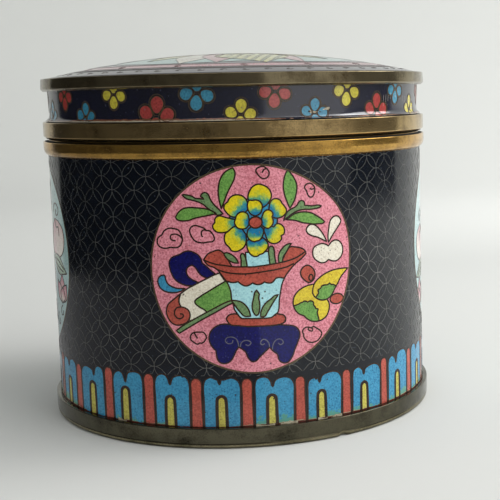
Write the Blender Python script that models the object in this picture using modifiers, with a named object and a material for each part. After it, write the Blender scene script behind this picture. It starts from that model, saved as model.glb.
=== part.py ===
"""Cloisonne lidded jar: a round enamelled copper box with brass rims and a low domed lid.

Metres, +Z up. The origin is the centre of the foot, on the surface that the jar stands on.
The middle of the front medallion faces -Y. Every solid is a profile turned about the Z axis.
Profiles are written in millimetres as (radius, height) and scaled once, when they are turned.
"""

from math import atan2, cos, pi, radians, sin, sqrt

import bpy

# Driving dimensions, in millimetres
MM = 0.001
GAP = 0.3  # clear space between two solids that touch on the real jar
TURN_STEPS = 64

BODY_FOOT_RADIUS = 56.85  # the wall leans in by a third of a millimetre on its way up
BODY_MOUTH_RADIUS = 56.5
BODY_WALL = 2.2
FLOOR_THICKNESS = 2.3
FLOOR_FILLET = 3.0

FOOT_RADIUS = 58.25
FOOT_HEIGHT = 5.6
FOOT_BAND = 1.1  # thickness of the upright band round the body
FOOT_FLANGE_HEIGHT = 2.0  # the flange under the body, which the jar stands on
FOOT_FLANGE_WIDTH = 3.9
FOOT_EDGE = 0.6

MOUTH_RIM_RADIUS = 57.75
MOUTH_RIM_BOTTOM = 77.5
MOUTH_RIM_TOP = 81.4
MOUTH_RIM_ROUND = 2.1  # height of the rounded lower half of the rim
SEAT_RADIUS = 56.2  # the raised seat that the lid rests on
SEAT_TOP = 82.0

COLLAR_OUTER = 53.6  # the collar inside the mouth that centres the lid
COLLAR_INNER = 52.8
COLLAR_BOTTOM = 70.0
COLLAR_TOP = 90.5

LID_RIM_RADIUS = 57.6
LID_RIM_TOP = 87.0
LID_RIM_FLANGE = 0.8
LID_INNER_RADIUS = 54.0
LID_WALL = 1.5
FLARE_RADIUS = 57.0  # where the enamel flares out over the lid's lower rim
FLARE_HEIGHT = 2.0
BAND_TOP_RADIUS = 55.8

TOP_RIM_RADIUS = 57.75
TOP_RIM_BOTTOM = 95.85
TOP_RIM_TOP = 99.45
RIM_EDGE = 0.35  # rounding of the brass rims' edges
RIM_BEVEL = 0.65  # the wider bevel under both rims of the lid

DOME_EDGE_RADIUS = 55.4
DOME_EDGE_HEIGHT = 99.65
DOME_APEX = 106.2
DOME_THICKNESS = 1.6
DOME_STEPS = 7

# Finishes: base colour, roughness, metallic
FINISHES = {
    "black_enamel": ((0.012, 0.014, 0.022), 0.18, 0.0),
    "navy_enamel": ((0.016, 0.018, 0.045), 0.18, 0.0),
    "aged_brass": ((0.34, 0.24, 0.10), 0.38, 0.9),
}


def clear_scene():
    for old in list(bpy.data.objects):
        bpy.data.objects.remove(old)


def make_collection(name):
    collection = bpy.data.collections.new(name)
    bpy.context.scene.collection.children.link(collection)
    return collection


def make_material(node_name, finish):
    colour, roughness, metallic = FINISHES[finish]
    material = bpy.data.materials.new(f"{node_name}_{finish}")
    material.use_nodes = True
    shader = material.node_tree.nodes["Principled BSDF"]
    shader.inputs["Base Color"].default_value = (*colour, 1.0)
    shader.inputs["Roughness"].default_value = roughness
    shader.inputs["Metallic"].default_value = metallic
    return material


def fillet(centre, radius, start_deg, end_deg, steps):
    """Points along a round edge, from one angle to the other."""
    angles = [radians(start_deg + (end_deg - start_deg) * i / steps) for i in range(steps + 1)]
    return [(centre[0] + radius * cos(a), centre[1] + radius * sin(a)) for a in angles]


def cap_arc(apex, edge_radius, edge_height, steps):
    """A shallow spherical cap, from its top on the axis down to its edge."""
    rise = apex - edge_height
    sphere = (edge_radius**2 + rise**2) / (2 * rise)
    spread = atan2(edge_radius, sphere - rise)
    angles = [spread * i / steps for i in range(steps + 1)]
    return [(sphere * sin(a), apex - sphere * (1 - cos(a))) for a in angles]


def cap_height(apex, edge_radius, edge_height, radius):
    """Height of that cap at a given radius."""
    rise = apex - edge_height
    sphere = (edge_radius**2 + rise**2) / (2 * rise)
    return apex - sphere + sqrt(sphere**2 - radius**2)


def turned(name, profile, finish, collection, closed):
    """A solid turned about Z. The profile runs down its outer side.

    A closed profile is a ring's section. An open one starts and ends on the axis.
    """
    mesh = bpy.data.meshes.new(name)
    points = [(radius * MM, 0.0, height * MM) for radius, height in profile]
    edges = [(i, i + 1) for i in range(len(points) - 1)]
    if closed:
        edges.append((len(points) - 1, 0))
    mesh.from_pydata(points, edges, [])
    obj = bpy.data.objects.new(name, mesh)
    collection.objects.link(obj)
    mesh.materials.append(make_material(name, finish))
    screw = obj.modifiers.new("turn", "SCREW")
    screw.angle = 2 * pi
    screw.steps = TURN_STEPS
    screw.render_steps = TURN_STEPS
    screw.use_merge_vertices = True
    screw.merge_threshold = 0.00001
    screw.use_smooth_shade = True
    return obj


def vessel_profile():
    inner_foot = BODY_FOOT_RADIUS - BODY_WALL
    inner_mouth = BODY_MOUTH_RADIUS - BODY_WALL
    underside = FOOT_FLANGE_HEIGHT + GAP
    floor_top = underside + FLOOR_THICKNESS
    lip = MOUTH_RIM_BOTTOM - GAP
    corner = (inner_foot - FLOOR_FILLET, floor_top + FLOOR_FILLET)
    return [
        (0.0, floor_top),
        *fillet(corner, FLOOR_FILLET, -90, 0, 3),
        (inner_mouth, lip),
        (BODY_MOUTH_RADIUS, lip),
        (BODY_FOOT_RADIUS, underside),
        (0.0, underside),
    ]


def foot_rim_profile():
    band_inner = FOOT_RADIUS - FOOT_BAND
    flange_inner = FOOT_RADIUS - FOOT_FLANGE_WIDTH
    edge_centre = (FOOT_RADIUS - FOOT_EDGE, FOOT_EDGE)
    return [
        (FOOT_RADIUS - RIM_EDGE, FOOT_HEIGHT),
        (FOOT_RADIUS, FOOT_HEIGHT - RIM_EDGE),
        *fillet(edge_centre, FOOT_EDGE, 0, -90, 2),
        (flange_inner, 0.0),
        (flange_inner, FOOT_FLANGE_HEIGHT),
        (band_inner, FOOT_FLANGE_HEIGHT),
        (band_inner, FOOT_HEIGHT),
    ]


def mouth_rim_profile():
    overhang = MOUTH_RIM_RADIUS - BODY_MOUTH_RADIUS
    round_centre = MOUTH_RIM_BOTTOM + MOUTH_RIM_ROUND
    quarter = [radians(30 * i) for i in range(4)]
    under = [
        (BODY_MOUTH_RADIUS + overhang * cos(a), round_centre - MOUTH_RIM_ROUND * sin(a)) for a in quarter
    ]
    return [
        (COLLAR_INNER, COLLAR_TOP),
        (COLLAR_OUTER, COLLAR_TOP),
        (COLLAR_OUTER, SEAT_TOP),
        (SEAT_RADIUS, SEAT_TOP),
        (SEAT_RADIUS, MOUTH_RIM_TOP),
        (MOUTH_RIM_RADIUS - RIM_EDGE, MOUTH_RIM_TOP),
        (MOUTH_RIM_RADIUS, MOUTH_RIM_TOP - RIM_EDGE),
        *under,
        (COLLAR_OUTER, MOUTH_RIM_BOTTOM),
        (COLLAR_OUTER, COLLAR_BOTTOM),
        (COLLAR_INNER, COLLAR_BOTTOM),
    ]


def lid_profile():
    wall_outer = LID_INNER_RADIUS + LID_WALL
    flare_bottom = LID_RIM_TOP + GAP
    wall_bottom = SEAT_TOP + GAP + LID_RIM_FLANGE + GAP
    flare_width = FLARE_RADIUS - wall_outer
    flare_top = flare_bottom + FLARE_HEIGHT
    quarter = [radians(180 + 30 * i) for i in range(4)]
    flare = [(FLARE_RADIUS + flare_width * cos(a), flare_top + FLARE_HEIGHT * sin(a)) for a in quarter]
    inner_edge = DOME_EDGE_RADIUS - DOME_THICKNESS
    inner_apex = DOME_APEX - DOME_THICKNESS
    inner_edge_height = cap_height(
        inner_apex, DOME_EDGE_RADIUS, DOME_EDGE_HEIGHT - DOME_THICKNESS, inner_edge
    )
    inside = cap_arc(inner_apex, inner_edge, inner_edge_height, DOME_STEPS - 2)
    return [
        *cap_arc(DOME_APEX, DOME_EDGE_RADIUS, DOME_EDGE_HEIGHT, DOME_STEPS),
        (BAND_TOP_RADIUS, TOP_RIM_TOP - RIM_EDGE),
        (BAND_TOP_RADIUS, TOP_RIM_BOTTOM),
        *flare,
        (wall_outer, flare_bottom),
        (wall_outer, wall_bottom),
        (LID_INNER_RADIUS, wall_bottom),
        (LID_INNER_RADIUS, inner_edge_height - RIM_EDGE),
        *reversed(inside),
    ]


def lid_rim_profile():
    bottom = SEAT_TOP + GAP
    band_inner = LID_INNER_RADIUS + LID_WALL + GAP
    return [
        (LID_RIM_RADIUS - RIM_EDGE, LID_RIM_TOP),
        (LID_RIM_RADIUS, LID_RIM_TOP - RIM_EDGE),
        (LID_RIM_RADIUS, bottom + RIM_BEVEL),
        (LID_RIM_RADIUS - RIM_BEVEL, bottom),
        (LID_INNER_RADIUS, bottom),
        (LID_INNER_RADIUS, bottom + LID_RIM_FLANGE),
        (band_inner, bottom + LID_RIM_FLANGE),
        (band_inner, LID_RIM_TOP),
    ]


def top_rim_profile():
    inner = BAND_TOP_RADIUS + GAP
    return [
        (TOP_RIM_RADIUS - RIM_EDGE, TOP_RIM_TOP),
        (TOP_RIM_RADIUS, TOP_RIM_TOP - RIM_EDGE),
        (TOP_RIM_RADIUS, TOP_RIM_BOTTOM + RIM_BEVEL),
        (TOP_RIM_RADIUS - RIM_BEVEL, TOP_RIM_BOTTOM),
        (inner, TOP_RIM_BOTTOM),
        (inner, TOP_RIM_TOP),
    ]


def main():
    clear_scene()
    jar = make_collection("cloisonne_lidded_jar")
    turned("jar_body", vessel_profile(), "black_enamel", jar, closed=False)
    turned("foot_rim", foot_rim_profile(), "aged_brass", jar, closed=True)
    turned("mouth_rim", mouth_rim_profile(), "aged_brass", jar, closed=True)
    turned("lid", lid_profile(), "navy_enamel", jar, closed=False)
    turned("lid_lower_rim", lid_rim_profile(), "aged_brass", jar, closed=True)
    turned("lid_upper_rim", top_rim_profile(), "aged_brass", jar, closed=True)


main()
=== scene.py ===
# %% [markdown]
# # A cloisonne jar with a lift-off lid
# Cloisonne is copper covered with coloured glass. Thin wires stand on edge on the metal, the
# cells between them are filled with glass paste and fired, and the whole is ground down until
# glass and wire are one smooth skin. Brass rims cover the edges of the copper.
# This lesson follows that order. Each picture is drawn flat in millimetres, cut into cells,
# given its wires, and then wrapped onto the wall, the lid's band or the dome.
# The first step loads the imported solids. They fix every size, and they are never moved.

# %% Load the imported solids
from math import ceil, cos, pi, radians, sin

import bpy
import numpy as np
from mathutils import Matrix, Vector
from mathutils.geometry import delaunay_2d_cdt


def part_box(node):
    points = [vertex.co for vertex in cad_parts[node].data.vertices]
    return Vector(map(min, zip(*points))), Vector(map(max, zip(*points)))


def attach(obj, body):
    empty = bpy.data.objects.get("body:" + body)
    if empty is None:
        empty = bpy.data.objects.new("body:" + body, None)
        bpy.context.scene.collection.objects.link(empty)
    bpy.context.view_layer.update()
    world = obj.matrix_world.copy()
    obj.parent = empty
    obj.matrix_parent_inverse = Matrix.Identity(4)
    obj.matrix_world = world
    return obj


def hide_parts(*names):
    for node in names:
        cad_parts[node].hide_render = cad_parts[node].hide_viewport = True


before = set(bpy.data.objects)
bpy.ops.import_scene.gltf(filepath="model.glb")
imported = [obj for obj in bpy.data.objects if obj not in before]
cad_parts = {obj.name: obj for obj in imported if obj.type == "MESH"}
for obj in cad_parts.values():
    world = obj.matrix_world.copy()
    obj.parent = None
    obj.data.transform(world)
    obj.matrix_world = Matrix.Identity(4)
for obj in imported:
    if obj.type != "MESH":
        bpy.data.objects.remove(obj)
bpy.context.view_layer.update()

MM = 0.001


def reach(node):
    """Outer radius, lowest point and highest point of a turned solid, in millimetres."""
    low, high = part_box(node)
    return high[0] / MM, low[2] / MM, high[2] / MM


foot_radius, _, foot_top = reach("foot_rim")
wall_foot_radius, wall_foot, wall_top = reach("jar_body")
mouth_radius, collar_bottom, collar_top = reach("mouth_rim")
lid_rim_radius, lid_rim_bottom, lid_rim_top = reach("lid_lower_rim")
top_rim_radius, top_rim_bottom, top_rim_top = reach("lid_upper_rim")
dome_top = reach("lid")[2]
print("wall radius at the foot", round(wall_foot_radius, 2), "dome top", round(dome_top, 2))

# %% [markdown]
# ## Shader groups shared by the finishes
# Old enamel is never one flat colour. Its glass grains leave a fine mottle, some grains stay
# pale, and bubbles that were ground open are dark pits. One group makes all three, and each
# enamel places it with its own values. A second group makes the streaks and stains of old
# brass. A third breaks up a line of colour along a rim: where the enamel is worn, and on the
# lid's band also a pale painted highlight.

# %% Helpers for building node trees
def add_node(tree, kind, links=None, **settings):
    """A new node with its settings made, then its values set and its links plugged in."""
    new = tree.nodes.new(kind)
    for key, value in settings.items():
        setattr(new, key, value)
    for key, value in (links or {}).items():
        if isinstance(value, bpy.types.NodeSocket):
            tree.links.new(value, new.inputs[key])
        else:
            new.inputs[key].default_value = value
    return new


def maths(tree, operation, *values, clamp=False):
    links = dict(enumerate(values))
    return add_node(tree, "ShaderNodeMath", links, operation=operation, use_clamp=clamp).outputs[0]


def plus(tree, *values, clamp=False):
    return maths(tree, "ADD", *values, clamp=clamp)


def minus(tree, *values, clamp=False):
    return maths(tree, "SUBTRACT", *values, clamp=clamp)


def times(tree, *values, clamp=False):
    return maths(tree, "MULTIPLY", *values, clamp=clamp)


def spread(tree, value, low, high, to_low=0.0, to_high=1.0):
    """Stretches the range from low to high over the new range, and cuts off the rest."""
    links = {"Value": value, "From Min": low, "From Max": high, "To Min": to_low, "To Max": to_high}
    return add_node(tree, "ShaderNodeMapRange", links).outputs[0]


def blend(tree, factor, first, second, kind="MIX"):
    mixer = add_node(tree, "ShaderNodeMix", {0: factor, 6: first, 7: second}, data_type="RGBA")
    mixer.blend_type = kind
    return mixer.outputs[2]


def new_group(name, kind, inputs, outputs):
    """An empty node group. Each socket is a name, its type and, for an input, its value."""
    tree = bpy.data.node_groups.new(name, kind)
    for socket_name, socket_type, value in inputs:
        made = tree.interface.new_socket(socket_name, in_out="INPUT", socket_type=socket_type)
        if value is not None:
            made.default_value = value
    for socket_name, socket_type in outputs:
        tree.interface.new_socket(socket_name, in_out="OUTPUT", socket_type=socket_type)
    return tree, tree.nodes.new("NodeGroupInput").outputs, tree.nodes.new("NodeGroupOutput").inputs


COLOUR, NUMBER = "NodeSocketColor", "NodeSocketFloat"
WHITE = (1.0, 1.0, 1.0, 1.0)


def object_noise(tree, where, scale, detail=2.0, roughness=0.5):
    links = {"Vector": where, "Scale": scale, "Detail": detail, "Roughness": roughness}
    return add_node(tree, "ShaderNodeTexNoise", links).outputs["Fac"]


# %% The group for enamel
def make_enamel_group():
    tree, given, result = new_group(
        "enamel_grain",
        "ShaderNodeTree",
        [
            ("Colour", COLOUR, WHITE),
            ("Deep Colour", COLOUR, WHITE),
            ("Mottle", NUMBER, 0.5),
            ("Speck Colour", COLOUR, WHITE),
            ("Specks", NUMBER, 0.3),
            ("Pits", NUMBER, 0.5),
            ("Smoothness", NUMBER, 0.12),
        ],
        [("Colour", COLOUR), ("Roughness", NUMBER), ("Height", NUMBER)],
    )
    where = add_node(tree, "ShaderNodeTexCoord").outputs["Object"]
    grain = spread(tree, object_noise(tree, where, 1900, 3, 0.65), 0.41, 0.61)
    patches = spread(tree, object_noise(tree, where, 150, 3), 0.35, 0.65)
    mix_by = plus(tree, times(tree, grain, 0.76), times(tree, patches, 0.24))
    mix_by = times(tree, mix_by, given["Mottle"], clamp=True)
    colour = blend(tree, mix_by, given["Colour"], given["Deep Colour"])

    grains = add_node(tree, "ShaderNodeTexVoronoi", {"Vector": where, "Scale": 1500.0})
    chosen = add_node(tree, "ShaderNodeSeparateColor", {"Color": grains.outputs["Color"]}).outputs
    speck = spread(tree, grains.outputs["Distance"], 0.34, 0.22)
    speck = times(tree, speck, maths(tree, "LESS_THAN", chosen["Red"], given["Specks"]))
    colour = blend(tree, times(tree, speck, 0.65), colour, given["Speck Colour"])

    bubbles = add_node(tree, "ShaderNodeTexVoronoi", {"Vector": where, "Scale": 620.0})
    chosen = add_node(tree, "ShaderNodeSeparateColor", {"Color": bubbles.outputs["Color"]}).outputs
    size = spread(tree, chosen["Green"], 0.0, 1.0, 0.05, 0.17)
    pit = maths(tree, "LESS_THAN", bubbles.outputs["Distance"], size)
    pit = times(tree, pit, maths(tree, "LESS_THAN", chosen["Blue"], given["Pits"]))
    colour = blend(tree, times(tree, pit, 0.85), colour, (0.012, 0.006, 0.008, 1.0))

    haze = spread(tree, object_noise(tree, where, 70, 4), 0.35, 0.75, 0.0, 0.07)
    rough = plus(tree, given["Smoothness"], haze)
    rough = plus(tree, rough, times(tree, pit, 0.5), clamp=True)
    tree.links.new(colour, result["Colour"])
    tree.links.new(rough, result["Roughness"])
    uneven = object_noise(tree, where, 260, 2)
    height = minus(tree, times(tree, uneven, 0.9), times(tree, pit, 0.8))
    tree.links.new(height, result["Height"])
    return tree


enamel_group = make_enamel_group()


# %% The group for old brass
def make_brass_group():
    tree, given, result = new_group(
        "old_brass",
        "ShaderNodeTree",
        [
            ("Bright", COLOUR, WHITE),
            ("Stain", COLOUR, WHITE),
            ("Tarnish", NUMBER, 0.5),
            ("Worn", NUMBER, 0.0),
        ],
        [("Colour", COLOUR), ("Roughness", NUMBER), ("Height", NUMBER)],
    )
    where = add_node(tree, "ShaderNodeTexCoord").outputs["Object"]
    along = add_node(tree, "ShaderNodeMapping", {"Vector": where, "Scale": (1.0, 1.0, 6.0)}).outputs[0]
    streaks = spread(tree, object_noise(tree, along, 120, 4, 0.6), 0.3, 0.7)
    patches = spread(tree, object_noise(tree, where, 130, 5, 0.65), 0.34, 0.66)
    grit = spread(tree, object_noise(tree, where, 2400, 2), 0.42, 0.74)
    stain = plus(tree, times(tree, streaks, 0.22), times(tree, patches, 0.44))
    stain = plus(tree, stain, times(tree, grit, 0.34))
    low = minus(tree, 1.0, given["Tarnish"])
    stain = spread(tree, stain, minus(tree, low, 0.36), plus(tree, low, 0.36))
    rubbed = times(tree, given["Worn"], spread(tree, patches, 0.95, 0.25))
    stain = minus(tree, stain, times(tree, rubbed, 0.85), clamp=True)
    tree.links.new(blend(tree, stain, given["Bright"], given["Stain"]), result["Colour"])
    rough = spread(tree, stain, 0.0, 1.0, 0.1, 0.26)
    tree.links.new(plus(tree, rough, times(tree, grit, 0.06)), result["Roughness"])
    height = plus(tree, times(tree, patches, 0.5), times(tree, grit, 0.5))
    tree.links.new(height, result["Height"])
    return tree


brass_group = make_brass_group()


# %% The group for lines along a rim: wear, and a painted highlight
def make_wear_and_sheen_group():
    tree, given, result = new_group(
        "rim_wear_and_sheen",
        "ShaderNodeTree",
        [("Level", NUMBER, 0.0), ("Reach", NUMBER, 0.0005), ("Amount", NUMBER, 0.5)],
        [("Mask", NUMBER)],
    )
    where = add_node(tree, "ShaderNodeTexCoord").outputs["Object"]
    height = add_node(tree, "ShaderNodeSeparateXYZ", {"Vector": where}).outputs["Z"]
    away = maths(tree, "ABSOLUTE", minus(tree, height, given["Level"]))
    near = minus(tree, 1.0, maths(tree, "DIVIDE", away, given["Reach"]), clamp=True)
    ragged = object_noise(tree, where, 900, 4, 0.7)
    broken = plus(tree, times(tree, near, 0.8), ragged)
    patchy = spread(tree, object_noise(tree, where, 42, 2), 0.4, 0.6, -0.3, 0.25)
    edge = minus(tree, 1.45, plus(tree, given["Amount"], patchy))
    mask = spread(tree, broken, edge, plus(tree, edge, 0.08))
    tree.links.new(times(tree, mask, maths(tree, "GREATER_THAN", near, 0.0)), result["Mask"])
    return tree


wear_and_sheen_group = make_wear_and_sheen_group()
print("shader groups", [g.name for g in (enamel_group, brass_group, wear_and_sheen_group)])

# %% [markdown]
# ## The finishes
# The wall's glass has a near-black ground with navy, pink, white, red, and bright and dull
# yellows, greens and blues. The lid's band and its dome have colours of their own, and more
# gloss. Petals shade from blue at the heart to yellow at the tip, so they read an attribute
# that the picture writes on its cells. Colours are given as they look in daylight and turned
# into linear light here.

# %% Enamel colours
def daylight(red, green, blue):
    """A colour from 0 to 255 as linear light."""
    parts = [c / 255 for c in (red, green, blue)]
    return (*[c / 12.92 if c <= 0.04045 else ((c + 0.055) / 1.055) ** 2.4 for c in parts], 1.0)


def new_material(name):
    made = bpy.data.materials.new(name)
    made.use_nodes = True
    return made, made.node_tree, made.node_tree.nodes["Principled BSDF"]


def bump(tree, shader, height, distance, strength):
    links = {"Height": height, "Distance": distance, "Strength": strength}
    relief = add_node(tree, "ShaderNodeBump", links)
    tree.links.new(relief.outputs[0], shader.inputs["Normal"])


RAMP_DEPTH = (0.62, 0.66, 0.6, 1.0)  # how much darker the deep grains of a shaded petal are


def enamel(name, colour, deep, mottle=0.6, speck=(255, 255, 255), specks=0.1, pits=0.3,
           smooth=0.1, wear_and_sheen=(), ramp=None, polish=1.45):
    """A glass finish. The lines in wear_and_sheen run along a rim, each (level in mm, reach in mm,
    amount, colour): worn enamel, and on the lid's band also a painted highlight. Polish is
    the glass's index, which sets how brightly it mirrors the room."""
    made, tree, shader = new_material(name)
    values = {
        "Colour": daylight(*colour),
        "Deep Colour": daylight(*deep),
        "Mottle": mottle,
        "Speck Colour": daylight(*speck),
        "Specks": specks,
        "Pits": pits,
        "Smoothness": smooth,
    }
    if ramp:
        shade = add_node(tree, "ShaderNodeAttribute", attribute_name="shade").outputs["Fac"]
        where = add_node(tree, "ShaderNodeTexCoord").outputs["Object"]
        ragged = spread(tree, object_noise(tree, where, 800, 3, 0.7), 0.3, 0.7, -0.13, 0.13)
        colours = add_node(tree, "ShaderNodeValToRGB", {"Fac": plus(tree, shade, ragged)})
        stops = colours.color_ramp.elements
        for _ in ramp[2:]:
            stops.new(0.5)
        for stop, (place, tint) in zip(stops, ramp):
            stop.position = place
            stop.color = daylight(*tint)
        values["Colour"] = colours.outputs["Color"]
        values["Deep Colour"] = blend(tree, 1.0, colours.outputs["Color"], RAMP_DEPTH, "MULTIPLY")
    grain = add_node(tree, "ShaderNodeGroup", values, node_tree=enamel_group)
    colour_out = grain.outputs["Colour"]
    for level, reach_mm, amount, tint in wear_and_sheen:
        links = {"Level": level * MM, "Reach": reach_mm * MM, "Amount": amount}
        mask = add_node(tree, "ShaderNodeGroup", links, node_tree=wear_and_sheen_group)
        colour_out = blend(tree, mask.outputs["Mask"], colour_out, daylight(*tint))
    tree.links.new(colour_out, shader.inputs["Base Color"])
    tree.links.new(grain.outputs["Roughness"], shader.inputs["Roughness"])
    shader.inputs["IOR"].default_value = polish
    bump(tree, shader, grain.outputs["Height"], 0.00003, 0.3)
    return made


FOOT_LINE = [(foot_top, 0.5, 0.75, (84, 40, 34))]
FOOT_WEAR = [(foot_top + 0.3, 0.9, 0.3, (176, 160, 128))] + FOOT_LINE
FOOT_GREEN = [(foot_top, 4.5, 0.36, (84, 150, 136))]
# The band's foot: a brown ragged line of worn chips, and a pale ragged line that is a painted highlight of
# the flare.
BAND_WEAR_AND_SHEEN = [(lid_rim_top + 0.45, 0.8, 0.5, (120, 74, 52)),
             (lid_rim_top + 0.3, 0.45, 0.45, (186, 176, 156))]
PETAL_RAMP = [(0.24, (36, 128, 176)), (0.44, (92, 172, 132)),
              (0.58, (206, 210, 64)), (0.74, (236, 214, 34))]
BLUSH_RAMP = [(0.1, (234, 228, 220)), (0.55, (226, 204, 200)), (0.95, (206, 142, 154))]
MIRROR = 2.05  # the lid's band mirrors the room more brightly than the wall does
DOME_GLOSS = 1.7

# Colour, colour of the deep grains, mottle, speck colour, share of specks, share of pits, roughness
WALL_GLASS = {
    "black": ((8, 12, 21), (14, 20, 31), 0.6, (60, 66, 74), 0.05, 0.12, 0.1),
    "navy": ((18, 18, 102), (8, 9, 54), 0.8, (60, 60, 120), 0.08, 0.1),
    "pink": ((238, 158, 172), (188, 98, 112), 0.95, (140, 56, 76), 0.3, 0.27),
    "white": ((244, 238, 222), (208, 196, 174), 0.8, (150, 134, 116), 0.2, 0.25),
    "red": ((194, 90, 74), (142, 60, 50), 0.85, (104, 40, 36), 0.2, 0.2),
    "yellow": ((230, 210, 62), (192, 160, 42), 0.85, (140, 124, 44), 0.2, 0.25),
    "dull_yellow": ((206, 198, 92), (158, 144, 58), 0.85, (110, 100, 44), 0.3, 0.3),
    "green": ((124, 174, 86), (74, 122, 54), 0.85, (44, 84, 38), 0.2, 0.22),
    "dull_green": ((126, 158, 106), (84, 112, 74), 0.85, (50, 70, 46), 0.2, 0.22),
    "blue": ((66, 156, 196), (36, 108, 150), 0.85, (24, 72, 100), 0.25, 0.3),
    "pale_blue": ((184, 232, 236), (140, 194, 206), 0.8, (96, 130, 140), 0.15, 0.3),
    "ice_blue": ((180, 204, 204), (146, 176, 178), 0.8, (96, 130, 140), 0.15, 0.3),
    "ice_green": ((158, 180, 158), (124, 148, 128), 0.8, (90, 110, 96), 0.15, 0.3),
    "petal": ((0, 0, 0), (0, 0, 0), 0.8, (120, 110, 50), 0.12, 0.25),
    "blush": ((0, 0, 0), (0, 0, 0), 0.5, (250, 246, 240), 0.08, 0.2),
    "lining": ((70, 132, 140), (46, 104, 116), 0.7, (120, 180, 180), 0.08, 0.5, 0.2),
}
BAND_GLASS = {
    "dark_navy": ((15, 18, 44), (9, 11, 24), 0.8, (70, 72, 90), 0.05, 0.2, 0.13),
    "band_red": ((176, 66, 60), (134, 44, 44), 0.8, (96, 36, 36), 0.2, 0.2, 0.15),
    "band_yellow": ((212, 200, 62), (166, 150, 48), 0.8, (110, 100, 40), 0.2, 0.25, 0.15),
    "band_blue": ((58, 142, 172), (34, 102, 132), 0.8, (24, 70, 92), 0.2, 0.25, 0.15),
}
DOME_GLASS = {
    "dome_grey": ((80, 76, 84), (54, 52, 58), 0.7, (120, 118, 118), 0.1, 0.2),
    "dome_rose": ((172, 124, 130), (138, 94, 102), 0.7, (190, 160, 160), 0.1, 0.2),
    "dome_yellow": ((180, 178, 112), (146, 146, 88), 0.7, (110, 108, 60), 0.1, 0.2),
    "dome_blue": ((130, 164, 160), (102, 134, 134), 0.7, (180, 200, 196), 0.1, 0.2),
    "dome_green": ((116, 134, 96), (88, 104, 72), 0.7, (60, 76, 50), 0.1, 0.2),
    "dome_white": ((188, 184, 170), (160, 154, 140), 0.7, (220, 216, 206), 0.1, 0.2),
}
WORN = {"black": FOOT_LINE, "red": FOOT_WEAR, "dull_yellow": FOOT_WEAR, "blue": FOOT_GREEN + FOOT_WEAR}
RAMPS = {"petal": PETAL_RAMP, "blush": BLUSH_RAMP}

finishes = {
    "chip": enamel("chipped_enamel", (198, 190, 168), (140, 124, 98), 0.9, (70, 56, 40), 0.4, 0.3, 0.4),
    "chip_hole": enamel("chip_hole", (14, 12, 12), (26, 22, 20), 0.8, (60, 52, 44), 0.2, 0.0, 0.5),
    # Near-black painted shade for gaps, grooves, rim undersides and the foot's contact line, where shade
    # falls.
    "grime": enamel("joint_painted_shade", (8, 7, 6), (14, 12, 10), 0.6, (30, 26, 20), 0.1, 0.0, 0.6),
}
for name, glass in WALL_GLASS.items():
    finishes[name] = enamel(name + "_enamel", *glass, wear_and_sheen=WORN.get(name, ()), ramp=RAMPS.get(name))
for name, glass in BAND_GLASS.items():
    finishes[name] = enamel(name + "_enamel", *glass, wear_and_sheen=BAND_WEAR_AND_SHEEN, polish=MIRROR)
for name, glass in DOME_GLASS.items():
    finishes[name] = enamel(name + "_enamel", *glass, polish=DOME_GLOSS)
print(len(finishes), "enamel colours")


# %% Brass finishes
def brass(name, bright, stain, tarnish, metallic=0.9, relief=0.25):
    made, tree, shader = new_material(name)
    worn = add_node(tree, "ShaderNodeAttribute", attribute_name="worn").outputs["Fac"]
    values = {"Bright": daylight(*bright), "Stain": daylight(*stain), "Tarnish": tarnish, "Worn": worn}
    patina = add_node(tree, "ShaderNodeGroup", values, node_tree=brass_group)
    tree.links.new(patina.outputs["Colour"], shader.inputs["Base Color"])
    tree.links.new(patina.outputs["Roughness"], shader.inputs["Roughness"])
    shader.inputs["Metallic"].default_value = metallic
    bump(tree, shader, patina.outputs["Height"], 0.00004, relief)
    return made


# Worn colour, stain, tarnish and, for the wires, how metallic they are and how rough their relief is
BRASSES = {
    "dark_brass": ("dark_brass", (138, 126, 98), (78, 66, 44), 0.58),
    "foot_brass": ("foot_brass", (92, 88, 72), (50, 47, 37), 0.58),
    # A lighter copy of the foot's brass: a painted highlight on the bead at the foot's lower edge.
    "foot_edge": ("foot_edge_highlight_brass", (138, 130, 104), (78, 74, 52), 0.52),
    "lid_brass": ("lid_brass", (182, 156, 108), (106, 86, 52), 0.52),
    "gold_brass": ("gold_brass", (206, 162, 82), (112, 82, 40), 0.47),
    # The dark wires' brown is tarnish together with painted shade along their edges.
    "wire": ("wire_brass", (74, 52, 38), (38, 27, 22), 0.6, 0.35, 0.1),
    "ring_wire": ("ring_wire_brass", (104, 88, 64), (64, 52, 38), 0.5, 0.35, 0.1),
    "ground_wire": ("ground_wire_brass", (128, 128, 124), (80, 80, 78), 0.5, 0.7, 0.1),
    "pale_wire": ("pale_wire_brass", (122, 120, 138), (84, 82, 104), 0.5, 0.3, 0.1),
}
for name, values in BRASSES.items():
    finishes[name] = brass(*values)
print("finishes", sorted(finishes))

# %% [markdown]
# ## Drawing cells flat
# A cloisonne cell is a closed outline. Most outlines here are soft, so a smooth curve is run
# through a few points, and a corner is where two smooth stretches meet. Leaves, petals and
# round fruits have a rule of their own and need only a place and a size.

# %% Curves and outlines
CURVE_STEP = 0.5  # length in mm of the short straight pieces a curve is made of


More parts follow.
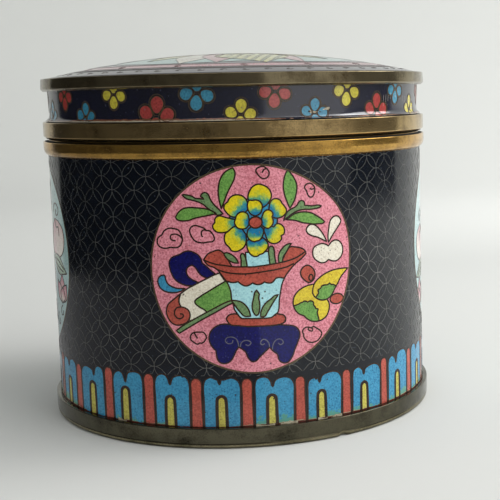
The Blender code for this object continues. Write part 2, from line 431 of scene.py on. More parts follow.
def curve_through(points, closed=False):
    """Points along one smooth line through the given points."""
    given = np.asarray(points, float)
    if closed:
        row = np.vstack([given[-1:], given, given[:2]])
    else:
        row = np.vstack([2 * given[:1] - given[1:2], given, 2 * given[-1:] - given[-2:-1]])
    gaps = np.sqrt(np.linalg.norm(np.diff(row, axis=0), axis=1))
    made = []
    for i in range(1, len(row) - 2):
        before, here, there, after = row[i - 1 : i + 3]
        g0, g1, g2 = gaps[i - 1 : i + 2]
        leave = g1 * ((here - before) / g0 - (there - before) / (g0 + g1) + (there - here) / g1)
        arrive = g1 * ((there - here) / g1 - (after - here) / (g1 + g2) + (after - there) / g2)
        count = max(1, ceil(np.linalg.norm(there - here) / CURVE_STEP))
        for t in np.arange(count) / count:
            made.append(
                (2 * t**3 - 3 * t**2 + 1) * here
                + (t**3 - 2 * t**2 + t) * leave
                + (3 * t**2 - 2 * t**3) * there
                + (t**3 - t**2) * arrive
            )
    if not closed:
        made.append(given[-1])
    return np.array(made)


def outline(*stretches):
    """A closed outline: smooth along each stretch, with a corner where the next one starts."""
    if len(stretches) == 1:
        return curve_through(stretches[0], closed=True)
    runs = []
    for stretch, following in zip(stretches, stretches[1:] + stretches[:1]):
        points = list(stretch)
        if points[-1] != following[0]:
            points.append(following[0])
        runs.append(curve_through(points)[:-1])
    return np.vstack(runs)


def pointed(points):
    """A closed outline with one corner, at its first point."""
    return curve_through(points + points[:1])[:-1]


def oval(centre, across, tall=None):
    """An ellipse with its half widths, or a circle with its radius."""
    tall = across if tall is None else tall
    count = max(12, ceil(2 * pi * max(across, tall) / CURVE_STEP))
    angles = np.arange(count) * 2 * pi / count
    return np.stack([across * np.cos(angles), tall * np.sin(angles)], axis=-1) + centre


def leaf(base, tip, width, lean=0.0):
    """A pointed leaf. Lean bends its middle to the left of the way from base to tip."""
    base, tip = np.array(base, float), np.array(tip, float)
    along = tip - base
    side = np.array([-along[1], along[0]]) / np.linalg.norm(along)
    middle = base + along * 0.5 + side * lean
    left, right = middle + side * width / 2, middle - side * width / 2
    return outline([tuple(base), tuple(left)], [tuple(tip), tuple(right)])


def heading(angle):
    """The direction of an angle in degrees, as a step of length one."""
    return np.array([cos(radians(angle)), sin(radians(angle))])


def plump_petal(heart, angle, near, far, width):
    """A petal that is blunt at its heart and nearly round at its tip, at an angle in degrees."""
    c, s = cos(radians(angle)), sin(radians(angle))
    side = [(near, 0.12), (near + (far - near) * 0.28, 0.4), (near + (far - near) * 0.6, 0.5),
            (near + (far - near) * 0.87, 0.34)]
    right = [(x, -part * width) for x, part in side]
    left = [(x, part * width) for x, part in side[::-1]]
    shape = right + [(far, 0)] + left
    return curve_through([(heart[0] + c * x - s * y, heart[1] + s * x + c * y) for x, y in shape], True)


def spiral(centre, radius, start, turns):
    """An open curl that winds in from its radius. Angles in degrees, turns may be negative."""
    steps = np.linspace(0, 1, max(6, ceil(abs(turns) * 14)))
    angles = radians(start) + steps * turns * 2 * pi
    reach_in = radius * (1 - 0.8 * steps)
    return np.stack([centre[0] + reach_in * np.cos(angles), centre[1] + reach_in * np.sin(angles)], axis=-1)


class Picture:
    """A flat drawing: cells laid over one another, and wires that bound no cell."""

    def __init__(self, finish, edge):
        self.cells = [(finish, edge, None, None)]
        self.lines = []

    def fill(self, finish, edge, shade_from=None, warm=0.0, inside=None):
        """Adds a cell and returns its number. A shaded one runs from the given heart to its
        own far side. Inside is the number of a cell that it is trimmed to."""
        shade = None
        if shade_from is not None:
            away = np.linalg.norm(edge - shade_from, axis=1)
            shade = (shade_from, away.min(), away.max(), warm)
        self.cells.append((finish, edge, shade, inside))
        return len(self.cells) - 1

    def line(self, points, closed=False, finish="wire"):
        self.lines.append((np.asarray(points, float), closed, finish))


print("leaf outline has", len(leaf((0, 0), (8, 0), 3)), "points")

# %% [markdown]
# ## From a drawing to glass and wire
# Where two cells overlap, the upper one wins, as with cut paper. A constrained triangulation
# does this for all cells at once: it returns triangles that know which outlines they lie in.
# The glass is those triangles made into a thin closed sheet. An edge between two different
# cells is where a wire stands, so the wires come from the same triangles.

# %% Cutting a picture into cells
SHEET_DEPTH = 0.3


def counter_clockwise(edge):
    x, y = edge[:, 0], edge[:, 1]
    area = np.sum(x * np.roll(y, -1) - np.roll(x, -1) * y)
    return edge if area > 0 else edge[::-1]


def cut_cells(picture, spacing):
    """Triangles of the picture, and for each one the number of the cell that shows there."""
    corners, loops = [], []
    for _, edge, _, _ in picture.cells:
        loops.append(list(range(len(corners), len(corners) + len(edge))))
        corners += [Vector(p) for p in counter_clockwise(edge)]
    ground = picture.cells[0][1]
    low, high = ground.min(axis=0), ground.max(axis=0)
    count = np.ceil((high - low) / spacing).astype(int) + 1
    for x in np.linspace(low[0], high[0], count[0]):
        corners += [Vector((x, y)) for y in np.linspace(low[1], high[1], count[1])]
    points, _, faces, _, _, owners = delaunay_2d_cdt(corners, [], loops, 1, 1e-5, True)
    trimmed_to = [inside for _, _, _, inside in picture.cells]

    def uppermost(own):
        return max(cell for cell in own if trimmed_to[cell] is None or trimmed_to[cell] in own)

    kept = [(face, uppermost(own)) for face, own in zip(faces, owners) if 0 in own]
    return np.array(points), [face for face, _ in kept], [cell for _, cell in kept]


def cell_borders(faces, cells, picture):
    """The edges between two cells that show, as pairs of point numbers."""
    seen = {}
    for face, cell in zip(faces, cells):
        for a, b in zip(face, face[1:] + face[:1]):
            seen.setdefault((min(a, b), max(a, b)), set()).add(cell)
    bare = {i for i, cell in enumerate(picture.cells) if cell[0] in (None, "chip", "chip_hole")}
    return [edge for edge, both in seen.items() if len(both) == 2 and not both & bare]


# %% Making the glass sheet
def place_vertices(mesh, surface):
    """Wraps a flat mesh in mm onto the jar. Its third coordinate is the height off the surface."""
    flat = np.empty(len(mesh.vertices) * 3, np.float32)
    mesh.vertices.foreach_get("co", flat)
    u, z, h = flat.reshape(-1, 3).astype(float).T
    mesh.vertices.foreach_set("co", surface(u, z, h).astype(np.float32).ravel())
    mesh.update()


def surface_normals(surface, u, z):
    step = 0.05
    across = surface(u + step, z, 0 * u) - surface(u - step, z, 0 * u)
    up = surface(u, z + step, 0 * u) - surface(u, z - step, 0 * u)
    normal = np.cross(across, up)
    return normal / np.linalg.norm(normal, axis=1)[:, None]


def add_object(name, mesh):
    made = bpy.data.objects.new(name, mesh)
    bpy.context.scene.collection.objects.link(made)
    return made


def glass_sheet(name, picture, surface, spacing=1.6):
    """The picture's cells as one thin closed sheet on the surface, and its wire edges."""
    points, faces, cells = cut_cells(picture, spacing)
    borders = cell_borders(faces, cells, picture)
    shown = [i for i, cell in enumerate(cells) if picture.cells[cell][0]]
    faces, cells = [faces[i] for i in shown], [cells[i] for i in shown]
    used = sorted({corner for face in faces for corner in face})
    renumber = {old: new for new, old in enumerate(used)}
    front = [[renumber[c] for c in face] for face in faces]
    flat = points[used]
    total = len(flat)
    back = [[c + total for c in reversed(face)] for face in front]
    directed = {(a, b) for face in front for a, b in zip(face, face[1:] + face[:1])}
    rim = [(a, b) for a, b in directed if (b, a) not in directed]
    sides = [[b, a, a + total, b + total] for a, b in rim]

    mesh = bpy.data.meshes.new(name)
    height = np.zeros(total)
    upper = surface(flat[:, 0], flat[:, 1], height)
    lower = surface(flat[:, 0], flat[:, 1], height - SHEET_DEPTH)
    mesh.from_pydata(np.vstack([upper, lower]).tolist(), [], front + back + sides)
    names = sorted({picture.cells[cell][0] for cell in cells})
    for finish in names:
        mesh.materials.append(finishes[finish])
    ground = names.index(picture.cells[cells[0]][0])
    indices = [names.index(picture.cells[cell][0]) for cell in cells] + [ground] * (len(back) + len(sides))
    mesh.polygons.foreach_set("material_index", indices)

    shades = np.zeros(len(mesh.loops), np.float32)
    for face, cell, polygon in zip(front, cells, mesh.polygons):
        shade = picture.cells[cell][2]
        if shade:
            heart, near, far, warm = shade
            away = np.linalg.norm(flat[face] - heart, axis=1)
            shades[polygon.loop_start : polygon.loop_start + 3] = (away - near) / (far - near) + warm
    mesh.attributes.new("shade", "FLOAT", "CORNER").data.foreach_set("value", shades)

    facing = surface_normals(surface, flat[:, 0], flat[:, 1])
    normals = [tuple(facing[c]) for face in front for c in face]
    normals += [tuple(-facing[c - total]) for face in back for c in face]
    mesh.polygons.foreach_set("use_smooth", [True] * len(mesh.polygons))
    side_normals = [tuple(p.normal) for p in mesh.polygons[len(front) + len(back) :] for _ in range(4)]
    mesh.normals_split_custom_set(normals + side_normals)
    print(name, len(mesh.polygons), "faces,", len(borders), "wire edges")
    return add_object(name, mesh), (points, borders)


# %% [markdown]
# ## The wires
# A wire is a low rib along an edge. Geometry Nodes turn any set of flat edges into ribs: the
# edges become curves, and a small profile is swept along them. The width, the rise above the
# glass and the depth in it are inputs, so one tree serves every wire on the jar.

# %% The tree that lays wire on edges
GEOMETRY, WHOLE = "NodeSocketGeometry", "NodeSocketInt"
WIRE_INPUTS = [
    ("Width", NUMBER, 0.32),
    ("Rise", NUMBER, 0.05),
    ("Depth", NUMBER, 0.2),
    ("Material", "NodeSocketMaterial", None),
]


def make_wire_tree():
    tree, given, result = new_group(
        "wire_on_edges",
        "GeometryNodeTree",
        [("Edges", GEOMETRY, None)] + WIRE_INPUTS,
        [("Wires", GEOMETRY)],
    )
    half = times(tree, given["Width"], 0.5)
    top = times(tree, given["Width"], 0.34)
    minus_half = times(tree, half, -1.0)
    minus_top = times(tree, top, -1.0)
    up = times(tree, given["Rise"], -1.0)
    corners = [(half, given["Depth"]), (minus_half, given["Depth"]), (minus_top, up), (top, up)]
    profile = add_node(tree, "GeometryNodeCurvePrimitiveQuadrilateral", mode="POINTS")
    for number, (x, y) in enumerate(corners, start=1):
        corner = add_node(tree, "ShaderNodeCombineXYZ", {"X": x, "Y": y})
        tree.links.new(corner.outputs[0], profile.inputs[f"Point {number}"])
    curves = add_node(tree, "GeometryNodeMeshToCurve", {0: given["Edges"]})
    level = add_node(tree, "GeometryNodeSetCurveNormal", {0: curves.outputs[0]}, mode="Z_UP")
    links = {0: level.outputs[0], 1: profile.outputs[0], "Fill Caps": True}
    ribs = add_node(tree, "GeometryNodeCurveToMesh", links)
    real = add_node(tree, "GeometryNodeRealizeInstances", {0: ribs.outputs[0]})
    done = add_node(tree, "GeometryNodeSetMaterial", {0: real.outputs[0], "Material": given["Material"]})
    tree.links.new(done.outputs[0], result["Wires"])
    return tree


wire_tree = make_wire_tree()


def run_tree(name, mesh, tree, values):
    """The mesh after the node tree has worked on it, as a plain mesh."""
    holder = add_object(name, mesh)
    modifier = holder.modifiers.new("nodes", "NODES")
    modifier.node_group = tree
    sockets = {item.name: item.identifier for item in tree.interface.items_tree if item.in_out == "INPUT"}
    for key, value in values.items():
        modifier[sockets[key]] = value
    result = bpy.data.meshes.new_from_object(holder.evaluated_get(bpy.context.evaluated_depsgraph_get()))
    bpy.data.objects.remove(holder)
    result.name = name
    return result


def lay_wires(name, pictures, surface, finish="wire", width=0.56, rise=0.05, look=None):
    """Wires for several pictures. Each is (wire edges, picture, place on the surface). The
    dark wires bound the cells, and every picture may add lines of each finish. Look is another
    finish to lay them in."""
    points, edges = [], []
    for (flat, pairs), picture, shift in pictures:
        if finish == "wire":
            start = len(points)
            points += [(u + shift, z, 0.0) for u, z in flat]
            edges += [(a + start, b + start) for a, b in pairs]
        for line, closed, line_finish in picture.lines:
            if line_finish != finish:
                continue
            start = len(points)
            points += [(u + shift, z, 0.0) for u, z in line]
            edges += [(start + i, start + i + 1) for i in range(len(line) - 1)]
            if closed:
                edges.append((start + len(line) - 1, start))
    mesh = bpy.data.meshes.new(name + "_edges")
    mesh.from_pydata(points, edges, [])
    values = {"Width": width, "Rise": rise, "Material": finishes[look or finish]}
    wires = run_tree(name, mesh, wire_tree, values)
    place_vertices(wires, surface)
    wires.shade_smooth()
    wires.set_sharp_from_angle(angle=radians(40))
    print(name, len(wires.polygons), "faces")
    return add_object(name, wires)


# %% [markdown]
# ## Surfaces to wrap onto
# Flat drawings measure across and up in millimetres. On the wall, across is the arc round the
# axis from the middle of the front. The lid's band is nearly the same, but it flares at its
# foot. The dome is drawn as seen from above.

# %% The wall, the band and the dome
SKIN = 0.2  # the metal core lies this far under the face of the glass
BAND_RADIUS = 55.5
BAND_TOP_RADIUS = 55.8
FLARE_RADIUS = 57.0
FLARE_HEIGHT = 2.0
band_bottom = lid_rim_top + 0.3
DOME_EDGE = 55.4
dome_edge_height = top_rim_top + 0.2
dome_apex = dome_top - 0.12
WALL_LEAN = 0.35  # how much narrower the wall is at the mouth than at the foot
mean_radius = wall_foot_radius - WALL_LEAN / 2
wall_round = 2 * pi * mean_radius
band_round = 2 * pi * 56.0


def wall_radius(z):
    return wall_foot_radius - WALL_LEAN * (z - wall_foot) / (wall_top - wall_foot)


def on_wall(u, z, h):
    turn = u / mean_radius
    out = wall_radius(z) + h
    return np.stack([out * np.sin(turn), -out * np.cos(turn), z], axis=-1) * MM


def band_radius(z):
    """Radius of the lid's band: nearly upright, with a quarter-round flare at its foot."""
    widening = BAND_TOP_RADIUS - BAND_RADIUS
    upright = BAND_RADIUS + widening * (z - band_bottom) / (top_rim_bottom - band_bottom)
    down = np.clip((band_bottom + FLARE_HEIGHT - z) / FLARE_HEIGHT, 0, 1)
    return upright + (FLARE_RADIUS - BAND_RADIUS) * (1 - np.sqrt(1 - 0.98 * down**2))


def on_band(u, z, h):
    turn = u / (band_round / 2 / pi)
    out = band_radius(z) + h
    return np.stack([out * np.sin(turn), -out * np.cos(turn), z], axis=-1) * MM


def dome_height(away):
    rise = dome_apex - dome_edge_height
    ball = (DOME_EDGE**2 + rise**2) / (2 * rise)
    return dome_apex - ball + np.sqrt(ball**2 - away**2)


def on_dome(x, y, h):
    return np.stack([x, y, dome_height(np.hypot(x, y)) + h], axis=-1) * MM


def dress(glass_name, wires_name, picture, surface, spacing, **wire):
    """Lays a picture's glass and its wires on a surface, as two pieces."""
    sheet, borders = glass_sheet(glass_name, picture, surface, spacing)
    finish_piece(sheet, "enamel")
    finish_piece(lay_wires(wires_name, [(borders, picture, 0.0)], surface, **wire), "brass")


def finish_piece(piece, slot, *nodes):
    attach(piece, "root")
    if nodes:
        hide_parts(*nodes)


# %% [markdown]
# ## The front medallion: a flower in a footed pot
# The picture is a potted flower on a low stand, with a rolled scroll, a ribbon, fruits and
# little clouds. Everything is drawn round the medallion's middle. Big shapes come first, and
# what lies over them follows. The points were picked by eye on enlarged parts of the
# photograph. Another program turned most of them from pixels into millimetres on the wall,
# with the camera matched further down, so these tables are its output and not typed by hand.

# %% The flower, in three rings
HEART = np.array([1.1, 12.4])
OUTER_PETALS = [
    (curve_through([(-0.6, 18.5), (-0.6, 19.6), (-0.2, 20.7), (0.9, 22), (2.3, 22.4), (3.6, 22),
         (4.7, 21.3), (5.4, 20.1), (5.5, 19), (4.8, 17.6), (3.6, 16.5), (1.2, 15.9)], True), 0.0),
    (outline([(-5.9, 18.1), (-5.6, 18.8), (-4.6, 19.6), (-3.5, 19.8), (-2.2, 19.5), (-1.3, 18.7),
         (-0.8, 17.6), (-0.8, 16)], [(-2, 14.6), (-3.5, 14), (-5, 14.1), (-6, 14.8), (-7, 16.3),
         (-6.8, 17.3)]), 0.05),
    (outline([(-9.5, 12.7), (-10.1, 12), (-10, 11.1), (-9.3, 10.3), (-8.2, 10), (-6.9, 10.1), (-5.3, 10.6)],
        [(-3.8, 11.3), (-3.7, 13.1)], [(-5.3, 13.6), (-6.8, 14), (-8.1, 14.4), (-9, 14.2), (-9.5, 13.5)]),
        0.2),
    (outline([(-5.5, 5.2), (-6, 6.1), (-6.6, 6.7), (-7.1, 7.5)], [(-7.2, 8.6), (-6.9, 9.7), (-6, 10.4),
         (-4.9, 11.3), (-3.4, 11.7)], [(-1.5, 9.4), (-1.5, 7.5), (-2, 6.2), (-3.1, 5.3), (-4.4, 4.9)]),
        0.15),
    (outline([(1.9, 3.9), (1.4, 3.5), (0.3, 3.5), (-0.6, 4.2), (-1.2, 5.4), (-1.4, 6.8), (-1.3, 7.7)],
        [(0.6, 8.2), (2.8, 8.3), (3.7, 7.6), (4.2, 6.6), (4.2, 5.7), (3.6, 4.9), (2.7, 4.1)]), 0.0),
    (outline([(8.5, 8.9), (7.8, 8.6)], [(7.8, 8.5), (7.9, 7.8), (7.1, 6.9), (5.9, 6.6), (4.8, 6.9),
         (4.1, 7.6), (3.6, 9), (3.3, 10.7), (4.4, 11.5)], [(5.9, 11), (6.7, 11.8), (7.6, 11.7), (8.5, 10.9),
         (8.8, 9.8)]), 0.0),
    (outline([(8.3, 17.1), (8.9, 16.4), (9.4, 15.5), (9.4, 14.8), (8.8, 14), (8, 13.5), (6.5, 13.3),
         (5.4, 13.9)], [(4.7, 15.4), (4.9, 16.7), (5.2, 17.6), (5.9, 18.3), (6.9, 18.4), (7.8, 18)]), 0.0),
]
INNER_PETALS = [
    (outline([(0.4, 18.2), (1.3, 18.3), (2.4, 17.9), (3, 16.9), (2.9, 15.8), (2.4, 14.7)], [(1.2, 14.1),
         (0.1, 14.5), (-0.6, 15.4), (-0.9, 16.9), (-0.7, 17.8), (-0.3, 18.3)]), 0.05),
    (curve_through([(-4.2, 13.3), (-4.4, 12.7), (-4.2, 11.9), (-3.6, 11.1), (-2.5, 10.8), (-1.4, 11),
         (-0.7, 11.9), (-0.6, 13.6), (-0.9, 14.7), (-2, 15.3), (-3.1, 15.1), (-3.8, 14.4)], True), 0.1),
    (outline([(5.5, 13.7), (5.8, 12.9), (5.7, 11.9), (5.1, 11.1), (4.4, 10.7), (3.5, 11), (2.7, 11.8)],
        [(2.7, 13.3), (3.2, 14.7), (3.8, 15.4), (4.6, 15.6), (5.4, 15.2), (5.8, 14.4)]), 0.1),
    (outline([(0.7, 7.3), (-0.3, 7.7), (-1, 8.5), (-1.2, 9.5), (-0.9, 10.6), (0.1, 11.3)], [(2.4, 11.3),
         (3.1, 10.6), (3.1, 9.5), (2.6, 8.3), (1.9, 7.6), (1.1, 7.5)]), -0.25),
]


def draw_flower(picture, at=HEART, size=1.0):
    """The big flower: a blue ground, outer petals, inner petals and a red heart."""
    at = np.array(at, float)

    def moved(edge):
        return at + (edge - HEART) * size

    picture.fill("blue", moved(oval((0.6, 12.8), 6.3, 6.0)))
    for edge, warm in OUTER_PETALS + INNER_PETALS:
        picture.fill("petal", moved(edge), shade_from=at, warm=warm)
    picture.fill("red", moved(oval(HEART, 1.75, 1.5)))


# %% Leaves, scroll and ribbon
def draw_front_leaves(picture):
    picture.fill("green", outline([(-7.7, 16.2), (-8.2, 18.7), (-8.3, 21.3), (-7.8, 23.7), (-6.7, 25.5),
         (-5.4, 26.4)], [(-4.3, 26.8), (-3.8, 25.6), (-4.1, 23.9), (-4.8, 22.5), (-5.8, 20.7),
         (-6.8, 18.4)]))
    picture.fill("dull_green", outline([(-7.3, 14.9), (-8.4, 16.2), (-9.2, 17), (-10.1, 18.1),
         (-10.6, 19.1), (-11, 20.1), (-11.9, 20.6), (-12.7, 20.2), (-13, 19.5)], [(-12.5, 19.3)],
        [(-12.2, 18.8), (-13.4, 19), (-14.5, 19.1), (-15.2, 19.6), (-16.3, 19.9), (-17.7, 20.1)],
        [(-18, 20), (-16.8, 19), (-15.3, 18.6), (-13.6, 18.1), (-12.3, 17.4), (-11.3, 16.5), (-10.2, 15.6),
         (-8.8, 14.6)]))
    picture.fill("green", outline([(-20, 14.2), (-19.2, 15.4), (-17.8, 16.4), (-16.1, 16.7), (-14.2, 16.6),
         (-12.4, 16.4), (-10.7, 16)], [(-9, 15), (-11, 14.6), (-12.8, 14.3), (-14.7, 13.9), (-16.6, 13.3),
         (-18.3, 13.2), (-19.6, 13.5)]))
    picture.fill("green", outline([(10.4, 15.7), (9.7, 17.4), (9, 19.6), (8.8, 22), (9.3, 24.4)],
        [(10.1, 25.9), (10.9, 24.9), (11.9, 23.4), (12.5, 21.7), (12.3, 19.6), (11.6, 17.5)]))
    picture.fill("dull_green", outline([(8.5, 12.5), (9.6, 14.7), (10.6, 15.4), (11.9, 16)], [(12.5, 16.5),
         (12.9, 17.2), (13.7, 17.6), (14.5, 17.1)], [(14.5, 16.3), (16.7, 16), (18.4, 16.1)], [(19.5, 15.8),
         (18.8, 15.4), (17.5, 15.2), (15.9, 15.1), (14.5, 15.2), (12.9, 15), (11.5, 14.5), (10.1, 13.6)]))
    picture.fill("green", outline([(9.3, 12.7), (10.3, 13.4), (11.5, 14.1), (13.1, 14.5), (14.7, 14.5),
         (16.5, 14.1), (17.9, 13.3), (19.3, 12.4)], [(20.3, 11.5), (19.7, 11.1), (18.5, 11.1), (17, 11.1),
         (15.4, 11.4), (13.8, 11.7), (12.2, 12.3), (10.7, 12.6)]))


def draw_scroll_and_ribbon(picture):
    picture.fill("navy", outline([(-9.8, -1), (-11.1, 0.1), (-12.3, 1.3), (-13.2, 2), (-13.5, 3),
         (-14, 3.9), (-14.9, 4.6), (-16.4, 5.2), (-17.9, 5.1), (-19.1, 4.4), (-20.5, 3.9), (-21.7, 3.3),
         (-22.3, 2.1), (-22.1, 0.3), (-21.4, -1.6), (-20.4, -2.8), (-18.9, -3.6), (-17.3, -4), (-15.7, -4)],
        [(-13, -4.2)], [(-10, -2)]))
    picture.fill("pink", outline([(-12.2, -2), (-13.8, -1.1), (-14.5, -0.2), (-15.2, 0.9), (-16.1, 1.5),
         (-17, 1.1), (-17.6, 0.3), (-17.6, -0.6), (-17.2, -1.5), (-16.4, -2.2)], [(-14.3, -3.3)],
        [(-12.4, -3)]))
    picture.fill("blue", outline([(-24.8, -1.4), (-23.8, -1.3), (-23.6, -2), (-23.3, -3.1), (-22.6, -3.9),
         (-21.3, -4.5), (-20, -4.8)], [(-18.1, -4.7), (-19.4, -5.5), (-21, -5.9), (-22.7, -5.9),
         (-24.2, -5.5), (-25.3, -4.6), (-25.8, -3.3), (-25.6, -2.1)]))
    scroll = picture.fill("white", outline([(-19.5, -6.2), (-17.7, -4.9), (-15.2, -3.6), (-12.2, -2.1),
         (-9.8, -1)], [(-8.8, -0.7), (-8.1, -1.7), (-7.5, -2.6)], [(-6, -3.2)], [(-5, -8)], [(-6.7, -8.3),
         (-12.1, -10.9), (-16.4, -13.2)], [(-17.1, -13.5), (-19.6, -9.8), (-20, -8.1)]))
    picture.fill("green", outline([(-7.3, -2.9), (-9.5, -4.1), (-11.5, -5.3), (-13.4, -6.4)],
        [(-14.9, -7.4), (-15.6, -8), (-15.6, -8.7), (-15, -9.3), (-14, -10), (-13, -10.6)], [(-12, -12)],
        [(-4, -8.5)], [(-5, -3)]), inside=scroll)
    picture.fill("dull_green", outline([(-21.1, -16.2), (-19.2, -14.8), (-16.4, -13.2), (-12.1, -10.9),
         (-6.7, -8.3)], [(-4.8, -8)], [(-5.2, -8.8), (-6.1, -9), (-9.7, -10.9), (-13.5, -12.9),
         (-17.3, -15.1)], [(-20.3, -16.9)]))
    picture.fill("red", outline([(-19.5, -6.2), (-20.8, -7.2), (-22.1, -8.2), (-23.1, -9.1), (-23.6, -10.3),
         (-23.7, -11.5), (-23.2, -13), (-22.2, -14.2), (-20.9, -14.7), (-19.4, -14.5), (-18.1, -13.9),
         (-17.3, -12.8), (-17.1, -11.8), (-17.5, -10.6), (-18.6, -9.9)], [(-19.5, -9.7), (-20, -8.7),
         (-20, -7.5)]))
    picture.line(curve_through([(-19.5, -9.7), (-20.7, -10), (-21.3, -10.8), (-21.4, -11.9), (-20.8, -12.7),
         (-19.8, -12.9), (-19, -12.3), (-19.1, -11.7), (-19.9, -11.6)]))


# %% The pot on its stand
def draw_stand(picture):
    picture.fill("navy", outline([(-5.4, -14.9), (-7.4, -14.4), (-9.1, -14.5), (-10.7, -15.3),
         (-11.8, -16.5), (-12.2, -18), (-12, -19.4), (-11.3, -20.7)], [(-10.5, -21.5), (-10.4, -22.6),
         (-10.2, -23.8), (-9.6, -24.7), (-8.6, -25.1), (-7.4, -24.9), (-6.4, -24.1), (-5.7, -22.9),
         (-5.1, -21.6)], [(-4.4, -20.7), (-3.5, -21.3), (-2.6, -22.2), (-2, -23.7), (-1, -24.8),
         (0.2, -24.6), (1, -23.7), (2, -22.8), (2.8, -22.1)], [(3.8, -21.2), (4.8, -22.4), (5.9, -23.3),
         (6.1, -24.4), (6.6, -25.3), (7.6, -25.8), (8.6, -25.7), (9.3, -25.1), (10.2, -23.7), (10.7, -22.3),
         (11.6, -20.3), (12.2, -18.7), (12, -17.3), (11.1, -16.2), (9.8, -15.7), (7.7, -15.4)],
        [(2, -14.5)]))
    curls = ([(3.8, -21.2), (3.6, -20), (3, -19.2), (2.2, -18.9), (1.6, -19.3), (1.4, -20), (1.9, -20.4),
         (2.5, -20.1)], [(4.5, -22), (4.7, -20.7), (5.3, -19.6), (6.3, -19.1), (7.3, -19.5), (7.5, -20.3),
         (6.7, -20.7), (6.2, -20.2)], [(-4.4, -20.5), (-4.6, -19.4), (-5.1, -18.4), (-6.3, -17.9),
         (-7.6, -18.2), (-7.9, -19), (-7.2, -19.7), (-6.1, -19.5), (-5.9, -18.8)], [(-4, -20.7),
         (-3.7, -19.6), (-2.8, -19), (-1.7, -19.1), (-1.1, -19.7), (-1.8, -20.4), (-2.6, -20.1)])
    for curl in curls:
        picture.line(curve_through(curl), finish="pale_wire")
    picture.fill("red", outline([(-4.2, -11.8), (-5.7, -11.7), (-6.7, -12), (-7.4, -12.9), (-7, -13.9),
         (-6.2, -14.7), (-4.4, -14.9), (-2.4, -15.2), (1.5, -15.3), (5.6, -15.3), (7.3, -15), (8.2, -14.5),
         (8.4, -13.6), (7.8, -12.7), (6.7, -12.4)], [(5, -12)], [(-3, -12)]))


def draw_pot_mouth(picture):
    """What stands in the mouth. The pot hides the lower ends."""
    picture.fill("pale_blue", outline([(-1.8, 4.6)], [(4.4, 4.6)], [(4.9, 0)], [(-1.6, 0)]))
    picture.fill("red", outline([(-12.9, 2.9), (-11.7, 4.4), (-10.2, 5.1), (-8.7, 5.4)], [(-7.3, 4.4)],
        [(-5.2, 0.5)], [(-9, 0.5)]))
    picture.fill("red", outline([(14.6, 3.6), (14, 4.5), (12.8, 5.1), (11.3, 5.4), (10.1, 5.4)],
        [(7.1, 0.5)], [(10, 0.5)], [(13.4, 2.6)]))
    picture.fill("dull_green", outline([(-7.5, 4.5), (-6.8, 4.7), (-5.9, 4.4), (-5, 3.8), (-4.2, 2.9)],
        [(-3.7, 1.8), (-5, 2), (-6.3, 2.7), (-7.1, 3.6)]))
    picture.fill("dull_green", outline([(-3.1, 0.3), (-3, 2.7), (-3.1, 3.9), (-2.6, 4.4), (-2.1, 4),
         (-1.7, 2.7)], [(-1.4, 0.3)]))
    picture.fill("dull_green", outline([(4.6, 0.5), (4.4, 3), (4.3, 4.8), (4.6, 5.8), (5.4, 5.9), (5.8, 5),
         (5.9, 3.3)], [(6.3, 0.5)]))
    picture.fill("dull_green", outline([(7.1, 0.5), (6.9, 3), (7.2, 4.1), (8.2, 5.4), (9.3, 6.2)],
        [(10.6, 6.4), (9.9, 5.5), (9.1, 4.2), (8.3, 3.1), (7.6, 0.5)]))


def draw_pot(picture):
    pot = picture.fill("pale_blue", outline([(-12.9, 2.9), (-11.7, 1.4), (-10.3, 0.9), (-9.1, 0),
         (-8.4, -1), (-7.6, -2.2), (-7, -3), (-6.4, -4.3), (-6, -5.7), (-5.8, -8.2), (-5.4, -9.3),
         (-5.2, -10.5), (-4.5, -11.6), (-4, -12.4)], [(-3.3, -13), (-1.5, -13.1), (1.5, -13.2),
         (4.6, -13.1)], [(5.5, -12.4), (6.2, -12), (6.6, -10.9), (6.8, -8.6), (7.2, -6.4), (7.6, -4.5),
         (8.2, -3.1), (8.9, -1.9), (10, -0.6), (11.5, 0.9), (13.3, 2.2), (14.6, 3.6)], [(14.3, 3.9),
         (13.2, 3.2), (11.2, 2.3), (8.4, 1.6), (5.4, 1.2), (2.6, 0.9), (-0.2, 0.7), (-2.1, 0.8),
         (-4.9, 0.9), (-7.4, 1.3), (-9.4, 1.6), (-11.3, 2.2)]))
    picture.fill("dull_green", outline([(-6.8, -8), (-4.4, -8.2), (-3.1, -8.7), (-2, -9.8), (-1.3, -11.1)],
        [(-1, -12.5), (-2.6, -12.4), (-3.7, -11.3), (-4.6, -10.1), (-5.6, -8.6)]), inside=pot)
    picture.fill("dull_green", outline([(0.8, -5.5), (0.3, -6.2), (-0.1, -7.8), (-0.5, -9.6), (-0.3, -11.3),
         (0.5, -12.4), (1.1, -12), (1.5, -10.3), (1.5, -8.9), (1.3, -7.7)], [(1.5, -6.7)]))
    picture.fill("dull_green", outline([(6.6, -7.1), (5.6, -7.3), (4.6, -8.1), (3.3, -9), (2.2, -10.4),
         (1.7, -11.8)], [(1.7, -12.8), (2.8, -12.7), (3.6, -11.5), (4.5, -10.1), (5.4, -8.7)]))
    picture.fill("red", outline([(-9, -2.9), (-7, -2.9), (-6, -3.2), (-5, -3.3)], [(-4, -3.1), (-3.2, -3.8),
         (-2.2, -4.3), (-1.2, -4.2)], [(-0.2, -3.6), (0.6, -4), (1.6, -4.1), (2.5, -3.8)], [(2.9, -3.5),
         (3.9, -3.8), (4.9, -3.8), (5.6, -3.2)], [(6, -2.7), (6.8, -2.5), (9, -2.9)], [(20, -2.8)],
        [(20, 8)], [(-20, 8)], [(-20, -2.9)]), inside=pot)
    picture.line(curve_through([(-9.3, 0.3), (-7.9, -0.3), (-5.7, -0.8), (-1.9, -1.1), (0.9, -0.9),
         (4, -0.6), (7.1, -0.2), (9.4, 0.3), (11.1, 1)]))


